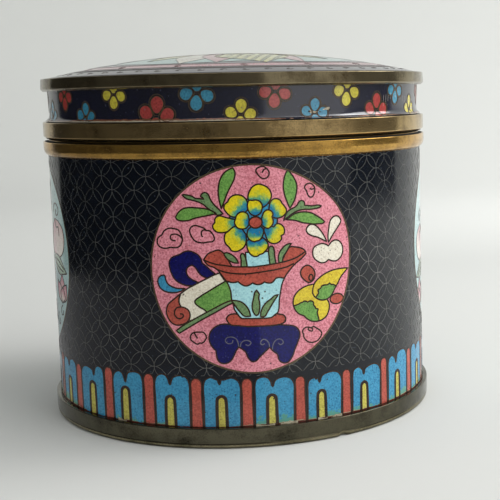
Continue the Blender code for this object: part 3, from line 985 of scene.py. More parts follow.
# %% Fruits and clouds
def draw_fruits(picture):
    picture.fill("white", pointed([(20.8, 6.1), (19.8, 8.1), (18.6, 9.7), (17.4, 10.8), (16.2, 11.1),
         (15.2, 10.5), (14.8, 9.6), (15.3, 8.7), (16.5, 8), (18.1, 7.5), (19.6, 6.7)]))
    picture.fill("white", pointed([(21.3, 5.8), (21.2, 7.6), (21.5, 9.5), (21.9, 11.4), (22.8, 12.5),
         (24.1, 12.8), (25, 12.2), (25.4, 11.4), (24.7, 10.2), (23.6, 8.9), (22.4, 7.4)]))
    picture.fill("white", outline([(21.3, 4.9), (22.1, 5.8), (23.3, 6.3), (24.6, 6), (25.5, 5), (25.8, 3.2),
         (25.2, 1.7), (23.8, 0.7), (22.5, 0.7)], [(21.2, 1.2), (20.3, 0.6), (19, 0.5), (17.8, 1.1),
         (16.8, 2.1), (16.5, 3.5), (16.9, 4.8), (17.9, 5.4), (19.2, 5.7), (20.2, 5.5)]))
    picture.fill("red", curve_through([(12.9, -1.3), (13.7, -0.2), (15, 0.2), (16.3, -0.6), (17, -2),
         (16.8, -3.4), (16.2, -4.2), (15.1, -4.5), (13.8, -3.6), (13, -2.5)], True))
    picture.line(curve_through([(15.2, -3.3), (15.6, -2.4), (16.2, -2.5), (16.4, -3.4), (15.8, -4.1)],
        True), True)
    gourd = picture.fill("yellow", outline([(16.4, -5.1), (14.8, -5.3), (13.1, -5.9), (11.7, -6.9),
         (10.8, -8.3), (10.6, -10.2), (11.2, -11.7), (12.2, -12.8)], [(13.5, -13.4), (14.4, -14.3),
         (15.5, -15), (17, -15.3), (18.6, -15.1), (20.1, -14.2), (20.9, -12.7), (21.1, -11), (20.6, -9.8)],
        [(18.8, -7.8)]))
    picture.fill("green", outline([(9.5, -10.5), (11, -10.4), (12.1, -10.1), (12.9, -9.7)], [(13, -9.8),
         (13.8, -9.4)], [(14.7, -9.8), (15.4, -9.5), (16.3, -9.9)], [(16.4, -10.8), (16.9, -11.4)],
        [(17, -11.8), (17.7, -12)], [(17.4, -12.8), (17.6, -13.8), (17.8, -14.6), (17.6, -17)],
        [(9.5, -17)]), inside=gourd)
    wing = picture.fill("yellow", pointed([(27.4, -1.7), (25, -1.6), (22.5, -1.8), (20.1, -2.5), (18, -3.7),
         (16.8, -4.9), (16.3, -6.3), (16.3, -7.8), (17.2, -8.9), (18.6, -9.6), (20.1, -9.6), (21.4, -9),
         (22.2, -8.2), (22.9, -7), (23.9, -5.6), (24.9, -4), (26, -2.9)]))
    picture.fill("green", outline([(16.4, -9.4), (17.6, -8.1)], [(18, -7.6), (17.8, -6.8)], [(18.6, -6.4),
         (19, -5.8)], [(19.8, -5.6), (20.8, -5.6)], [(21.4, -5.2), (21.9, -5.7), (22.4, -5.7)],
        [(24.4, -6.9)], [(22, -11)], [(17, -11)]), inside=wing)
    picture.fill("red", oval((23.5, -9.75), 2.1, 1.4))


def draw_clouds(picture):
    def cloud(edge, curl):
        picture.line(edge, closed=True)
        picture.line(curve_through(curl))

    cloud(outline([(-18.3, 8.4), (-18.7, 9.8), (-19.4, 10.8), (-20.8, 11.2), (-22.1, 11.2), (-23.4, 10.5)],
        [(-24.1, 9.4), (-25.2, 8.7), (-25.5, 7.7), (-25.3, 6.8), (-24.4, 6.1), (-23.2, 5.9)], [(-21.7, 6.2),
         (-20.8, 6.1), (-19.8, 6.2), (-19, 6.7), (-18.6, 7.4)]), [(-18.3, 8.4), (-18.7, 8.9), (-19.5, 9.5),
         (-20.4, 9.7), (-21.4, 9.5), (-21.7, 9), (-21.5, 8.3), (-20.8, 8), (-20.2, 8)])
    cloud(outline([(-11.8, 10.6), (-12.4, 11.2), (-13.7, 11.7), (-14.8, 12), (-15.8, 11.6), (-16.3, 10.8)],
        [(-16.1, 9.6), (-15.5, 8.5), (-14.8, 7.8), (-13.9, 7.5), (-12.7, 7.4)], [(-11.4, 7.6), (-10.3, 7.7),
         (-9.8, 8.3), (-9.9, 9), (-10.3, 9.8), (-10.9, 10.5)]), [(-11.8, 10.6), (-12.4, 10.8), (-13, 10.5),
         (-13.2, 10), (-13.1, 9.3), (-12.9, 8.9)])
    cloud(outline([(4.6, 26.3), (3.7, 26.9), (2.8, 26.9), (1.9, 26.5), (1.6, 25.8)], [(2.1, 24.9),
         (3.1, 23.9), (4, 23.8), (4.8, 24.3), (5.1, 25.3)]), [(4.6, 26.3), (3.8, 26.2), (3.2, 25.3)])
    cloud(curve_through([(14.6, 20.9), (15.2, 21.8), (16.3, 22), (17.2, 21.4), (17.6, 20.5), (17.4, 19.3),
         (16.8, 18.4), (16, 18.4), (15.4, 19.3), (15.2, 20.1)], True), [(17.6, 20.6), (16.6, 20.4),
         (16.1, 20.7)])
    cloud(outline([(14.9, -16.7), (14.1, -16.6), (13.3, -17), (13, -17.7)], [(13.3, -18.5), (13.3, -19.2),
         (13.8, -20), (14.6, -20.7)], [(15.8, -21), (17.1, -20.7), (18.2, -19.7), (18.6, -18.7),
         (18.1, -17.9)], [(17, -17.1), (16.2, -16.6), (15.6, -16.9)]), [(14.9, -16.7), (14.6, -17.2),
         (15.2, -17.7), (15.9, -17.8), (15.9, -17.3), (15.6, -16.9)])
    cloud(outline([(-16.8, -16.9), (-16.2, -16.6), (-15.2, -16.5), (-13.8, -16.5)], [(-13.6, -16.6),
         (-13.1, -17.2), (-12.9, -18.1)], [(-13, -18.2), (-13.5, -19), (-14.2, -19.5)], [(-14.7, -19.4),
         (-15.4, -19.8), (-16.2, -19.4)], [(-17.1, -18.7), (-17.3, -17.8)]), [(-16.2, -16.6),
         (-15.7, -17.6), (-15.3, -18.2)])


# %% Putting the front picture together
MEDALLION_RADIUS = 27.5
MEDALLION_HEIGHT = 48.3


def edge_radius(angle, bulge):
    """Radius of a medallion's edge at an angle in radians. The front one was found a little
    out of round, so each swells towards one side, given in degrees, and at its foot."""

    def swell(at, width):
        turned_by = angle - np.radians(at)
        away = np.degrees(np.arctan2(np.sin(turned_by), np.cos(turned_by)))
        return np.exp(-((away / width) ** 2))

    return MEDALLION_RADIUS + 1.5 * swell(bulge, 24) + 0.35 * swell(272, 16)


def medallion_edge(bulge):
    angles = np.radians(np.arange(0, 360, 1.2))
    return edge_radius(angles, bulge)[:, None] * np.stack([np.cos(angles), np.sin(angles)], axis=-1)


def front_picture():
    picture = Picture("pink", medallion_edge(27))
    draw_scroll_and_ribbon(picture)
    draw_front_leaves(picture)
    draw_fruits(picture)
    draw_stand(picture)
    draw_pot_mouth(picture)
    draw_pot(picture)
    draw_flower(picture)
    draw_clouds(picture)
    return picture


# %% [markdown]
# ## The side and back medallions
# The sides show only at the edge of the photograph: a pale blue ground with a pinkish white
# bud, a leaf and a small blossom. Peaches and leaves in the same hand lie beyond them. The
# back has a plainer flower on pink, in keeping with the front.

# %% Peaches, side sprays and a plain flower
def draw_peach(picture, at, size, turn):
    """A peach seen from the side, with its tip turned by an angle in degrees."""
    shape = [[(0, 1.15), (-0.75, 0.75), (-1.02, -0.05), (-0.6, -0.8), (0, -0.98), (0.6, -0.8), (1.02, -0.05),
              (0.75, 0.75)], [(0, 1.15)]]
    c, s = cos(radians(turn)) * size, sin(radians(turn)) * size
    placed = [[(at[0] + c * x - s * y, at[1] + s * x + c * y) for x, y in stretch] for stretch in shape]
    heart = np.array([at[0] + s * 1.2, at[1] - c * 1.2])
    picture.fill("blush", outline(*placed), shade_from=heart)
    crease = [(0, -0.98), (0.28, -0.2), (0.2, 0.5), (0, 1.15)]
    picture.line(curve_through([(at[0] + c * x - s * y, at[1] + s * x + c * y) for x, y in crease]))


def side_picture(mirror, drop):
    """Buds, leaves and a blossom near the edge that shows from the front, and a spray with
    peaches beyond them. Mirror is 1 or -1, and drop lowers the part that shows."""

    def at(x, z):
        return (mirror * x, z - drop)

    picture = Picture("ice_blue", medallion_edge(90 + 63 * mirror))
    picture.fill("dull_green", leaf(at(-4, -20), at(1, 22), 1.4, lean=mirror * 4))
    for base, tip, width in (((-2, -14), (-18, -15), 6), ((0, 2), (-15, 14), 6), ((2, 10), (9, 22), 5),
                             ((-4, -8), (-21, -4), 6), ((0, -16), (10, -20), 5), ((-3, 14), (-12, 21), 5)):
        picture.fill("green", leaf(at(*base), at(*tip), width, lean=mirror * 1.0))
    draw_peach(picture, at(-9, 4), 5.5, mirror * 35)
    draw_peach(picture, at(2, -7), 6.5, mirror * 20)
    bud = [[at(8, 3), at(10.5, 7.5), at(15, 10.8)],
           [at(20, 10.6), at(23.6, 8.6), at(24.6, 5.5), at(23.4, 2.2), at(20.4, 0.3), at(15, -0.3),
            at(10, 0.6)]]
    picture.fill("blush", outline(*bud), shade_from=np.array(at(24, 0)), warm=0.15)
    picture.line(curve_through([at(15, 10.8), at(17.2, 8.6), at(19.5, 8.8), at(20, 6.2)]))
    picture.fill("ice_green", leaf(at(11, 0.2), at(25.4, -4.2), 5.2, lean=mirror * -0.3))
    picture.line(curve_through([at(13, -0.9), at(18, -1.2), at(23, -3.1)]))
    picture.line(curve_through([at(14, -2.0), at(18.5, -3.2), at(22.5, -3.9)]))
    calyx = at(20, -13.4)
    for tip, width in (((21, -4.6), 5.4), ((24.6, -7.4), 4.6), ((15.5, -7), 4.8), ((21.4, -8.5), 4.8)):
        picture.fill("blush", leaf(calyx, at(*tip), width), shade_from=np.array(calyx), warm=0.2)
    curls = [[(14, 13), (15.5, 15.2), (18.5, 15.4), (20.5, 13.8), (19, 12.2), (17, 12.7), (17.6, 13.9)],
             [(20, -14), (18, -15.4), (18.6, -17), (20.4, -16.6), (20, -15.6)],
             [(14, -17), (12.6, -19), (14, -20.6), (16, -19.6), (15, -18.6)],
             [(-22, 8), (-21, 10.6), (-18.6, 10), (-19, 8), (-20.6, 8.4)]]
    for curl in curls:
        picture.line(curve_through([at(*place) for place in curl]))
    return picture


def back_picture():
    picture = Picture("pink", medallion_edge(27))
    for base, tip, width, lean in (((0, 0), (-21, 9), 6, 1.5), ((0, 0), (21, 9), 6, -1.5),
                                   ((-1, -4), (-18, -13), 6, -1.5), ((1, -4), (18, -13), 6, 1.5),
                                   ((-3, 8), (-12, 23), 5, 1), ((3, 8), (12, 23), 5, -1)):
        picture.fill("green", leaf(base, tip, width, lean))
    picture.fill("dull_green", leaf((0, -26), (0, 0), 1.8, 1.5))
    draw_flower(picture, at=(0.6, 2.0), size=1.25)
    for at in ((-21, -2), (21, -2), (-7, -20), (8, -20), (-20, 17), (20, 17)):
        picture.line(spiral(at, 1.9, 90, 1.3))
        picture.line(oval(at, 2.3, 1.9), closed=True)
    return picture


# %% Wrapping the four medallions
quarter = wall_round / 4
medallions = [
    ("front_medallion", front_picture(), 27),
    ("right_medallion", side_picture(-1, 5.5), 27),
    ("back_medallion", back_picture(), 27),
    ("left_medallion", side_picture(1, 0.0), 153),
]
medallion_lines = []
for number, (name, picture, bulge) in enumerate(medallions):
    across = quarter * (number - 4 if number == 3 else number)

    def on_medallion(u, z, h, across=across):
        return on_wall(u + across, z + MEDALLION_HEIGHT, h)

    sheet, borders = glass_sheet(name, picture, on_medallion)
    finish_piece(sheet, "enamel")
    picture.line(medallion_edge(bulge) * (1 + 0.08 / MEDALLION_RADIUS), closed=True, finish="ring_wire")
    medallion_lines.append((borders, picture, across))


def on_medallion_row(u, z, h):
    return on_wall(u, z + MEDALLION_HEIGHT, h)


for name, finish, width in (("medallion_wires", "wire", 0.56), ("medallion_rings", "ring_wire", 0.66),
                            ("stand_curls", "pale_wire", 0.36)):
    finish_piece(lay_wires(name, medallion_lines, on_medallion_row, finish, width), "brass")

# %% [markdown]
# ## The ground and its diaper of cash
# The near-black ground carries a net of overlapping circles, which reads as rows of cash
# coins. Each petal between two crossings is its own little loop of wire. The loops repeat on
# a grid, so Geometry Nodes place them, and the same tree trims them at the medallions, at the
# rim above and at the border below.

# %% The black ground with four round openings
BORDER_TOP = 20.4
ground_low, ground_high = -quarter / 2, wall_round - quarter / 2


def rectangle(left, right, bottom, top):
    return np.array([(left, bottom), (right, bottom), (right, top), (left, top)], float)


def on_ground(u, z, h):
    """The wall, with what lies close round a medallion pushed out to the medallion's own edge."""
    number = np.round(u / quarter)
    near_u, near_z = u - number * quarter, z - MEDALLION_HEIGHT
    away = np.maximum(np.hypot(near_u, near_z), 1.0)
    swell = edge_radius(np.arctan2(near_z, near_u), np.where(number % 4 == 3, 153, 27)) - MEDALLION_RADIUS
    push = swell * np.clip(1 - (away - MEDALLION_RADIUS) / 7, 0, 1) / away
    return on_wall(u + near_u * push, z + near_z * push, h)


ground = Picture("black", rectangle(ground_low, ground_high, BORDER_TOP, wall_top + 0.35))
for number, (_, _, bulge) in enumerate(medallions):
    ground.fill(None, medallion_edge(bulge) + (number * quarter, MEDALLION_HEIGHT))
sheet, _ = glass_sheet("body_ground", ground, on_wall, spacing=2.8)
finish_piece(sheet, "enamel")


# %% The tree for the cash diaper
def make_diaper_tree():
    tree, given, result = new_group(
        "cash_diaper",
        "GeometryNodeTree",
        [
            ("Columns", WHOLE, 96),
            ("Rows", WHOLE, 18),
            ("Column Step", NUMBER, 3.7),
            ("Row Step", NUMBER, 3.65),
            ("Left", NUMBER, 0.0),
            ("Lowest", NUMBER, 0.0),
            ("Loop Length", NUMBER, 5.0),
            ("Loop Width", NUMBER, 2.05),
            ("Loop Points", WHOLE, 14),
            ("Medallion Radius", NUMBER, 27.5),
            ("Medallion Height", NUMBER, 48.3),
            ("Medallion Step", NUMBER, 89.0),
            ("Bottom", NUMBER, 20.0),
            ("Top", NUMBER, 77.4),
            ("Trim", NUMBER, 1.0),
        ]
        + WIRE_INPUTS,
        [("Wires", GEOMETRY)],
    )
    across = times(tree, minus(tree, given["Columns"], 1.0), given["Column Step"])
    tall = times(tree, minus(tree, given["Rows"], 1.0), given["Row Step"])
    sizes = {0: across, 1: tall, 2: given["Columns"], 3: given["Rows"]}
    grid = add_node(tree, "GeometryNodeMeshGrid", sizes)
    middle_u = plus(tree, given["Left"], times(tree, across, 0.5))
    middle_z = plus(tree, given["Lowest"], times(tree, tall, 0.5))
    shift = add_node(tree, "ShaderNodeCombineXYZ", {"X": middle_u, "Y": middle_z})
    places = add_node(tree, "GeometryNodeTransform", {0: grid.outputs[0], "Translation": shift.outputs[0]})

    number = add_node(tree, "GeometryNodeInputIndex").outputs[0]
    column = maths(tree, "FLOOR", maths(tree, "DIVIDE", plus(tree, number, 0.5), given["Rows"]))
    row = minus(tree, number, times(tree, column, given["Rows"]))
    odd = maths(tree, "ROUND", maths(tree, "FLOORED_MODULO", plus(tree, column, row), 2.0))
    tilt = maths(tree, "ARCTAN2", given["Row Step"], given["Column Step"])
    turn = times(tree, tilt, minus(tree, 1.0, times(tree, odd, 2.0)))
    rotation = add_node(tree, "ShaderNodeCombineXYZ", {"Z": turn})

    ring = add_node(tree, "GeometryNodeMeshCircle", {"Vertices": given["Loop Points"], "Radius": 1.0})
    round_place = add_node(tree, "ShaderNodeSeparateXYZ",
                           {0: add_node(tree, "GeometryNodeInputPosition").outputs[0]}).outputs
    slim = minus(tree, 1.0, times(tree, maths(tree, "POWER", round_place["X"], 2.0), 0.25))
    loop_x = times(tree, round_place["X"], times(tree, given["Loop Length"], 0.5))
    loop_y = times(tree, round_place["Y"], times(tree, given["Loop Width"], 0.5))
    loop_y = times(tree, loop_y, slim)
    loop_place = add_node(tree, "ShaderNodeCombineXYZ", {"X": loop_x, "Y": loop_y})
    loop = add_node(tree, "GeometryNodeSetPosition", {0: ring.outputs[0], "Position": loop_place.outputs[0]})
    links = {"Points": places.outputs[0], "Instance": loop.outputs[0], "Rotation": rotation.outputs[0]}
    loops = add_node(tree, "GeometryNodeInstanceOnPoints", links)
    net = add_node(tree, "GeometryNodeRealizeInstances", {0: loops.outputs[0]}).outputs[0]

    place = add_node(tree, "ShaderNodeSeparateXYZ",
                     {0: add_node(tree, "GeometryNodeInputPosition").outputs[0]}).outputs
    half_step = times(tree, given["Medallion Step"], 0.5)
    minus_half = times(tree, half_step, -1.0)
    near_u = maths(tree, "WRAP", place["X"], half_step, minus_half)
    near_z = minus(tree, place["Y"], given["Medallion Height"])
    squares = plus(tree, maths(tree, "POWER", near_u, 2.0), maths(tree, "POWER", near_z, 2.0))
    away = maths(tree, "SQRT", squares)
    sunk = minus(tree, given["Medallion Radius"], away)
    over = minus(tree, place["Y"], given["Top"])
    under = minus(tree, given["Bottom"], place["Y"])
    worst = maths(tree, "MAXIMUM", sunk, maths(tree, "MAXIMUM", over, under))
    gone = maths(tree, "GREATER_THAN", worst, given["Trim"])
    outward = maths(tree, "DIVIDE", maths(tree, "MAXIMUM", sunk, 0.0), away)
    push_u = times(tree, near_u, outward)
    push_z = times(tree, near_z, outward)
    push_z = minus(tree, push_z, maths(tree, "MAXIMUM", over, 0.0))
    push_z = plus(tree, push_z, maths(tree, "MAXIMUM", under, 0.0))
    push = add_node(tree, "ShaderNodeCombineXYZ", {"X": push_u, "Y": push_z})
    kept = add_node(tree, "GeometryNodeDeleteGeometry", {0: net, "Selection": gone}, domain="POINT")
    trimmed = add_node(tree, "GeometryNodeSetPosition", {0: kept.outputs[0], "Offset": push.outputs[0]})
    wires = add_node(tree, "GeometryNodeGroup", node_tree=wire_tree)
    tree.links.new(trimmed.outputs[0], wires.inputs["Edges"])
    for name, _, _ in WIRE_INPUTS:
        tree.links.new(given[name], wires.inputs[name])
    real = add_node(tree, "GeometryNodeRealizeInstances", {0: wires.outputs[0]})
    done = add_node(tree, "GeometryNodeSetMaterial", {0: real.outputs[0], "Material": given["Material"]})
    tree.links.new(done.outputs[0], result["Wires"])
    return tree


diaper_tree = make_diaper_tree()

# %% Laying the diaper wires
COLUMNS = 96
ROWS = 17
ROW_STEP = 3.65
column_step = wall_round / COLUMNS
crossing = 31.3  # a place at the right of the front where four loops meet, 73.1 mm up
diaper_left = crossing - 8.5 * column_step - wall_round / 2
diaper_lowest = 73.1 + ROW_STEP * 1.5 - ROW_STEP * (ROWS - 1)
values = {
    "Columns": COLUMNS,
    "Rows": ROWS,
    "Column Step": column_step,
    "Row Step": ROW_STEP,
    "Left": diaper_left,
    "Lowest": diaper_lowest,
    "Medallion Radius": MEDALLION_RADIUS,
    "Medallion Height": MEDALLION_HEIGHT,
    "Medallion Step": quarter,
    "Bottom": 19.9,
    "Top": wall_top + 0.1,
    "Width": 0.2,
    "Rise": 0.035,
    "Material": finishes["ground_wire"],
}
diaper = run_tree("diaper_wires", bpy.data.meshes.new("diaper_start"), diaper_tree, values)
place_vertices(diaper, on_ground)
diaper.shade_smooth()
diaper.set_sharp_from_angle(angle=radians(40))
print("diaper", len(diaper.polygons), "faces")
finish_piece(add_object("diaper_wires", diaper), "brass")

# %% [markdown]
# ## The lappet border
# Twenty-five upright lappets stand round the foot, each with two rounded lobes and a yellow
# arch in its middle, with red stripes between. They were filled by hand, so each differs a
# little. Those in front have places and heights worked out from the photograph, again by
# another program. Round the back a sine of the lappet's number stands in for the hand.

# %% One lappet and one stripe, repeated
LAPPETS = 25
STRIPES_FRONT = [-58.7, -44.1, -30.0, -16.25, -2.6, 11.9, 26.1, 40.6, 54.9]


def all_round(front, count, round_length):
    """The places measured on the front, and even steps round the back."""
    gap = (front[0] + round_length - front[-1]) / (count - len(front) + 1)
    return front + [front[-1] + gap * (i + 1) for i in range(count - len(front))]


def by_hand(number, seed, amount):
    """A small difference that belongs to one lappet or blossom."""
    return amount * sin(number * 12.9898 + seed * 78.233)


# Each front lappet: place and level of its notch, place and top of its arch, tops of its lobes
LAPPETS_FRONT = [(-50.6, 16.9, -51.3, 14.7, 19.0, 19.8), (-37.8, 16.8, -37.9, 15.1, 19.6, 19.9),
                 (-23.6, 17.2, -23.7, 13.8, 20.0, 19.8), (-9.9, 17.5, -9.5, 14.0, 19.4, 19.2),
                 (4.3, 16.3, 4.0, 13.8, 19.1, 18.7), (17.6, 16.1, 18.1, 13.5, 17.5, 18.5),
                 (32.3, 16.0, 32.4, 13.5, 18.3, 18.2), (46.7, 16.5, 47.4, 13.7, 18.8, 19.6)]
STRIPE_TOPS = [18.8, 20.2, 19.8, 19.1, 18.9, 18.4, 18.3, 19.0, 18.9]


def draw_lappet(picture, key, middle, room, whole_turn):
    """Two lobes with a notch between them. Room is the distance between the two stripes."""
    low = foot_top - 0.4
    half = room / 2 - 1.95
    lean = by_hand(key, 13, 0.25)
    if key < len(LAPPETS_FRONT):
        notch, notch_low, arch, crest, top_left, top_right = LAPPETS_FRONT[key]
        notch, arch = notch + whole_turn, arch + whole_turn
    else:
        notch, arch = middle + by_hand(key, 3, 0.5), middle + by_hand(key, 15, 0.5)
        notch_low, crest = 16.7 + by_hand(key, 4, 0.6), 14.0 + by_hand(key, 5, 0.6)
        top_left, top_right = (19.2 + by_hand(key, seed, 0.6) for seed in (2, 12))
    picture.fill("blue", outline(
        [(middle - half, low)], [(middle + half, low)],
        [(middle + half + lean, 13), (middle + half + lean, top_right - 2.2),
         (middle + half - 0.7, top_right - 0.6), (middle + half * 0.55, top_right),
         (notch + 1.1, top_right - 0.5), (notch + 0.5, notch_low + 1.2)],
        [(notch + 0.25, notch_low + 0.2), (notch, notch_low - 0.1), (notch - 0.25, notch_low + 0.2)],
        [(notch - 0.5, notch_low + 1.2), (notch - 1.1, top_left - 0.5), (middle - half * 0.55, top_left),
         (middle - half + 0.7, top_left - 0.6), (middle - half + lean, top_left - 2.2),
         (middle - half + lean, 13)]))
    for finish, wide, top in (("black", 1.62, crest + 0.45), ("dull_yellow", 1.1, crest)):
        wide += by_hand(key, 14, 0.1)
        picture.fill(finish, outline(
            [(arch - wide, low)], [(arch + wide, low)],
            [(arch + wide - 0.1, top - 2.2), (arch + wide * 0.75, top - 0.6), (arch, top),
             (arch - wide * 0.75, top - 0.6), (arch - wide + 0.1, top - 2.2)]))


def draw_stripe(picture, key, middle):
    low = foot_top - 0.4
    top = STRIPE_TOPS[key] if key < len(STRIPE_TOPS) else 19.1 + by_hand(key, 6, 0.5)
    wide, narrow = 1.5 + by_hand(key, 7, 0.1), 1.35 + by_hand(key, 16, 0.1)
    picture.fill("red", outline(
        [(middle - wide, low)], [(middle + wide, low)],
        [(middle + narrow, 14), (middle + narrow, top - 1.1), (middle + 0.8, top - 0.2), (middle, top),
         (middle - 0.8, top - 0.2), (middle - narrow, top - 1.1), (middle - narrow, 14)]))


def chipped(left, right, low, high, seed):
    """A long ragged patch where the glass has chipped away."""
    ends = np.linspace(left, right, 9)
    upper = [(u, high + by_hand(i, seed, (high - low) * 0.5)) for i, u in enumerate(ends)]
    lower = [(u, low + by_hand(i, seed + 5, (high - low) * 0.2)) for i, u in enumerate(ends)]
    return np.array(lower + upper[::-1])


stripes = all_round(STRIPES_FRONT, LAPPETS, wall_round)
border = Picture("black", rectangle(-wall_round / 2, wall_round / 2, foot_top - 0.2, BORDER_TOP))
for key, (here, following) in enumerate(zip(stripes, stripes[1:] + [stripes[0] + wall_round])):
    for whole_turn in (-wall_round, 0.0):
        if abs(here + whole_turn) < wall_round / 2 + 15:
            draw_lappet(border, key, (here + following) / 2 + whole_turn, following - here, whole_turn)
            draw_stripe(border, key, here + whole_turn)
# Each chipped patch at the foot: its left and right end, and the seed of its ragged edge
FOOT_CHIPS = [(-0.5, 4.6, 1), (6.2, 11, 2), (16.9, 19.8, 3), (21, 24.4, 4), (-41, -38, 5), (150, 156, 6)]
for left, right, seed in FOOT_CHIPS:
    border.fill("chip", chipped(left, right, foot_top - 0.1, foot_top + 0.42, seed))
dress("lappet_border", "lappet_wires", border, on_wall, spacing=2.2, width=0.52)

# %% [markdown]
# ## The lid's band of blossoms
# Half blossoms hang from the upper rim and stand on the lower one, in turn. Each has three
# petals of one colour with their own wires, and a second wire follows them outside. The band's
# glass is polished brighter than the wall's, and old chips and scratches show pale in it.

# %% Blossoms up and down
UPPER_FRONT = [-59.1, -37.1, -12.9, 7.5, 28.65, 49.5]
LOWER_FRONT = [-48.7, -24.35, -1.9, 18.25, 39.9, 60.0]
BLOSSOMS = 16
band_top = top_rim_bottom + 0.25


UPPER_SIZES = [1.0, 0.95, 1.1, 1.05, 1.05, 1.0]
LOWER_SIZES = [0.95, 1.22, 1.0, 0.95, 1.15, 1.0]


def draw_blossom(picture, at, finish, upright, lean, size):
    """Three petals round a heart on the rim. Upright is 1 for a lower and -1 for an upper one."""
    heart = (at, band_bottom + 0.5 if upright > 0 else band_top - 0.7)
    petals = []
    for angle, near, far, width in ((90, 1.4, 5.0, 3.0), (27, 1.2, 4.4, 2.9), (153, 1.2, 4.4, 2.9)):
        petals.append(plump_petal(heart, upright * angle + lean, near * size, far * size, width * size))
    picture.fill(finish, oval((at, heart[1] - upright * 0.2), 1.3, 0.8))
    for petal in petals:
        middle = petal.mean(axis=0)
        picture.fill("dark_navy", middle + (petal - middle) * 1.24)
    for petal in petals:
        picture.fill(finish, petal)
    for angle in (59, 121):
        way = heading(upright * angle + lean)
        picture.line(np.array([heart + way * 0.9 * size, heart + way * 3.7 * size]))


blossoms = Picture("dark_navy", rectangle(-band_round / 2, band_round / 2, band_bottom, band_top))
rows = ((UPPER_FRONT, UPPER_SIZES, -1, ("band_red", "band_yellow", "band_blue")),
        (LOWER_FRONT, LOWER_SIZES, 1, ("band_blue", "band_red", "band_yellow")))
for front, sizes, upright, colours in rows:
    for number, at in enumerate(all_round(front, BLOSSOMS, band_round)):
        size = sizes[number] if number < len(sizes) else 1 + by_hand(number, 9, 0.1)
        lean = by_hand(number + upright, 8, 6)
        for whole_turn in (-band_round, 0.0):
            if abs(at + whole_turn) < band_round / 2 + 6:
                draw_blossom(blossoms, at + whole_turn, colours[number % 3], upright, lean, size)
for left, right, low, seed in ((16.9, 19.4, 88.75, 3), (20.9, 22.9, 89.3, 4), (61, 63.5, 88.6, 6)):
    blossoms.fill("chip", chipped(left, right, low, low + 0.55, seed))
BAND_HOLES = [(16.7, 89.1, 0.5), (19.9, 88.9, 0.4), (22.9, 89.4, 0.5), (21.6, 90.6, 0.3), (45.4, 90.2, 0.4)]
for u, z, across in BAND_HOLES:
    blossoms.fill("chip_hole", oval((u, z), across * 0.6, across * 0.5))
for k in range(14):  # fine upright scratches at the right of the front
    u, low = 43 + 1.4 * k + by_hand(k, 21, 0.6), 90.6 + by_hand(k, 22, 1.6)
    high = low + 2.2 + by_hand(k, 23, 1.0)
    blossoms.fill("chip", np.array([(u, low), (u + 0.09, low), (u + 0.2, high), (u + 0.12, high)]))
dress("lid_band_enamel", "lid_band_wires", blossoms, on_band, spacing=0.9, width=0.26, look="ring_wire")

# %% [markdown]
# ## The dome
# The lid's top is seen almost edge on. A grey border with small scrolls runs inside the rim,
# then a dull rose ring, a grey one, and a pale lobed field with leaves and petals in it. Only
# the part near the front follows the photograph. The rest is a guess in the same hand.

# %% The dome's picture
DOME_RINGS = [("dome_grey", 50.0), ("dome_rose", 47.8), ("dome_grey", 43.6)]


def dome_picture():
    picture = Picture("dome_grey", oval((0, 0), DOME_EDGE))
    for k in range(56):
        angle = 2 * pi * k / 56
        at = (52.2 * cos(angle), 52.2 * sin(angle))
        picture.line(spiral(at, 1.1, k * 360 / 56 + 90, 0.9 if k % 2 else -0.9))
    for finish, radius in DOME_RINGS:
        picture.fill(finish, oval((0, 0), radius))
    picture.line(oval((0, 0), 49.2), closed=True)
    lobes = [np.array([cos(a), sin(a)]) * (39.5 + 2.6 * abs(cos(3 * a)))
             for a in np.linspace(0, 2 * pi, 240, False)]
    picture.fill("dome_blue", np.array(lobes))
    for k in range(16):
        way = np.array([cos(2 * pi * k / 16), sin(2 * pi * k / 16)])
        picture.line(spiral(way * 45.7, 1.3, 22.5 * k, 1.2))
    for k in range(8):
        way = heading(45 * k + 22)
        finish = "dome_green" if k % 2 else "dome_white"
        picture.fill(finish, leaf(tuple(way * 12), tuple(way * 37), 9, 2.0 if k % 2 else -2.0))
    for k in (0, 1, 2, 3, 4, 5, 7):
        way = heading(45 * k)
        picture.fill("dome_yellow" if k % 2 else "dome_rose", leaf(tuple(way * 12), tuple(way * 36), 9.0))
    picture.fill("dome_white", leaf((-5, -8), (-17, -39), 12))
    picture.fill("dome_rose", leaf((-2, -8), (-7, -41), 11))
    picture.fill("dome_rose", leaf((6, -8), (17.5, -40), 8))
    striped = picture.fill("dome_yellow", leaf((1, -8), (6.5, -42), 21))
    for k in range(8):
        u = 2.9 * k - 10
        stripe = np.array([(u, -42), (u + 0.8, -42), (u + 8.3, -10), (u + 7.5, -10)])
        picture.fill("dome_green", stripe, inside=striped)
    draw_flower(picture, at=(0, 0), size=1.9)
    return picture


dress("dome_enamel", "dome_wires", dome_picture(), on_dome, spacing=2.4, width=0.36)

# %% [markdown]
# ## Turned metal
# The vessel, the lid's shell and the four rims are all round, so each is a profile turned
# about the axis. Corners of a profile are rounded by a small amount. The rounded points are
# marked as worn, because fingers polish edges first, and the brass reads that mark.

# %% Turning a profile
STEPS = 240


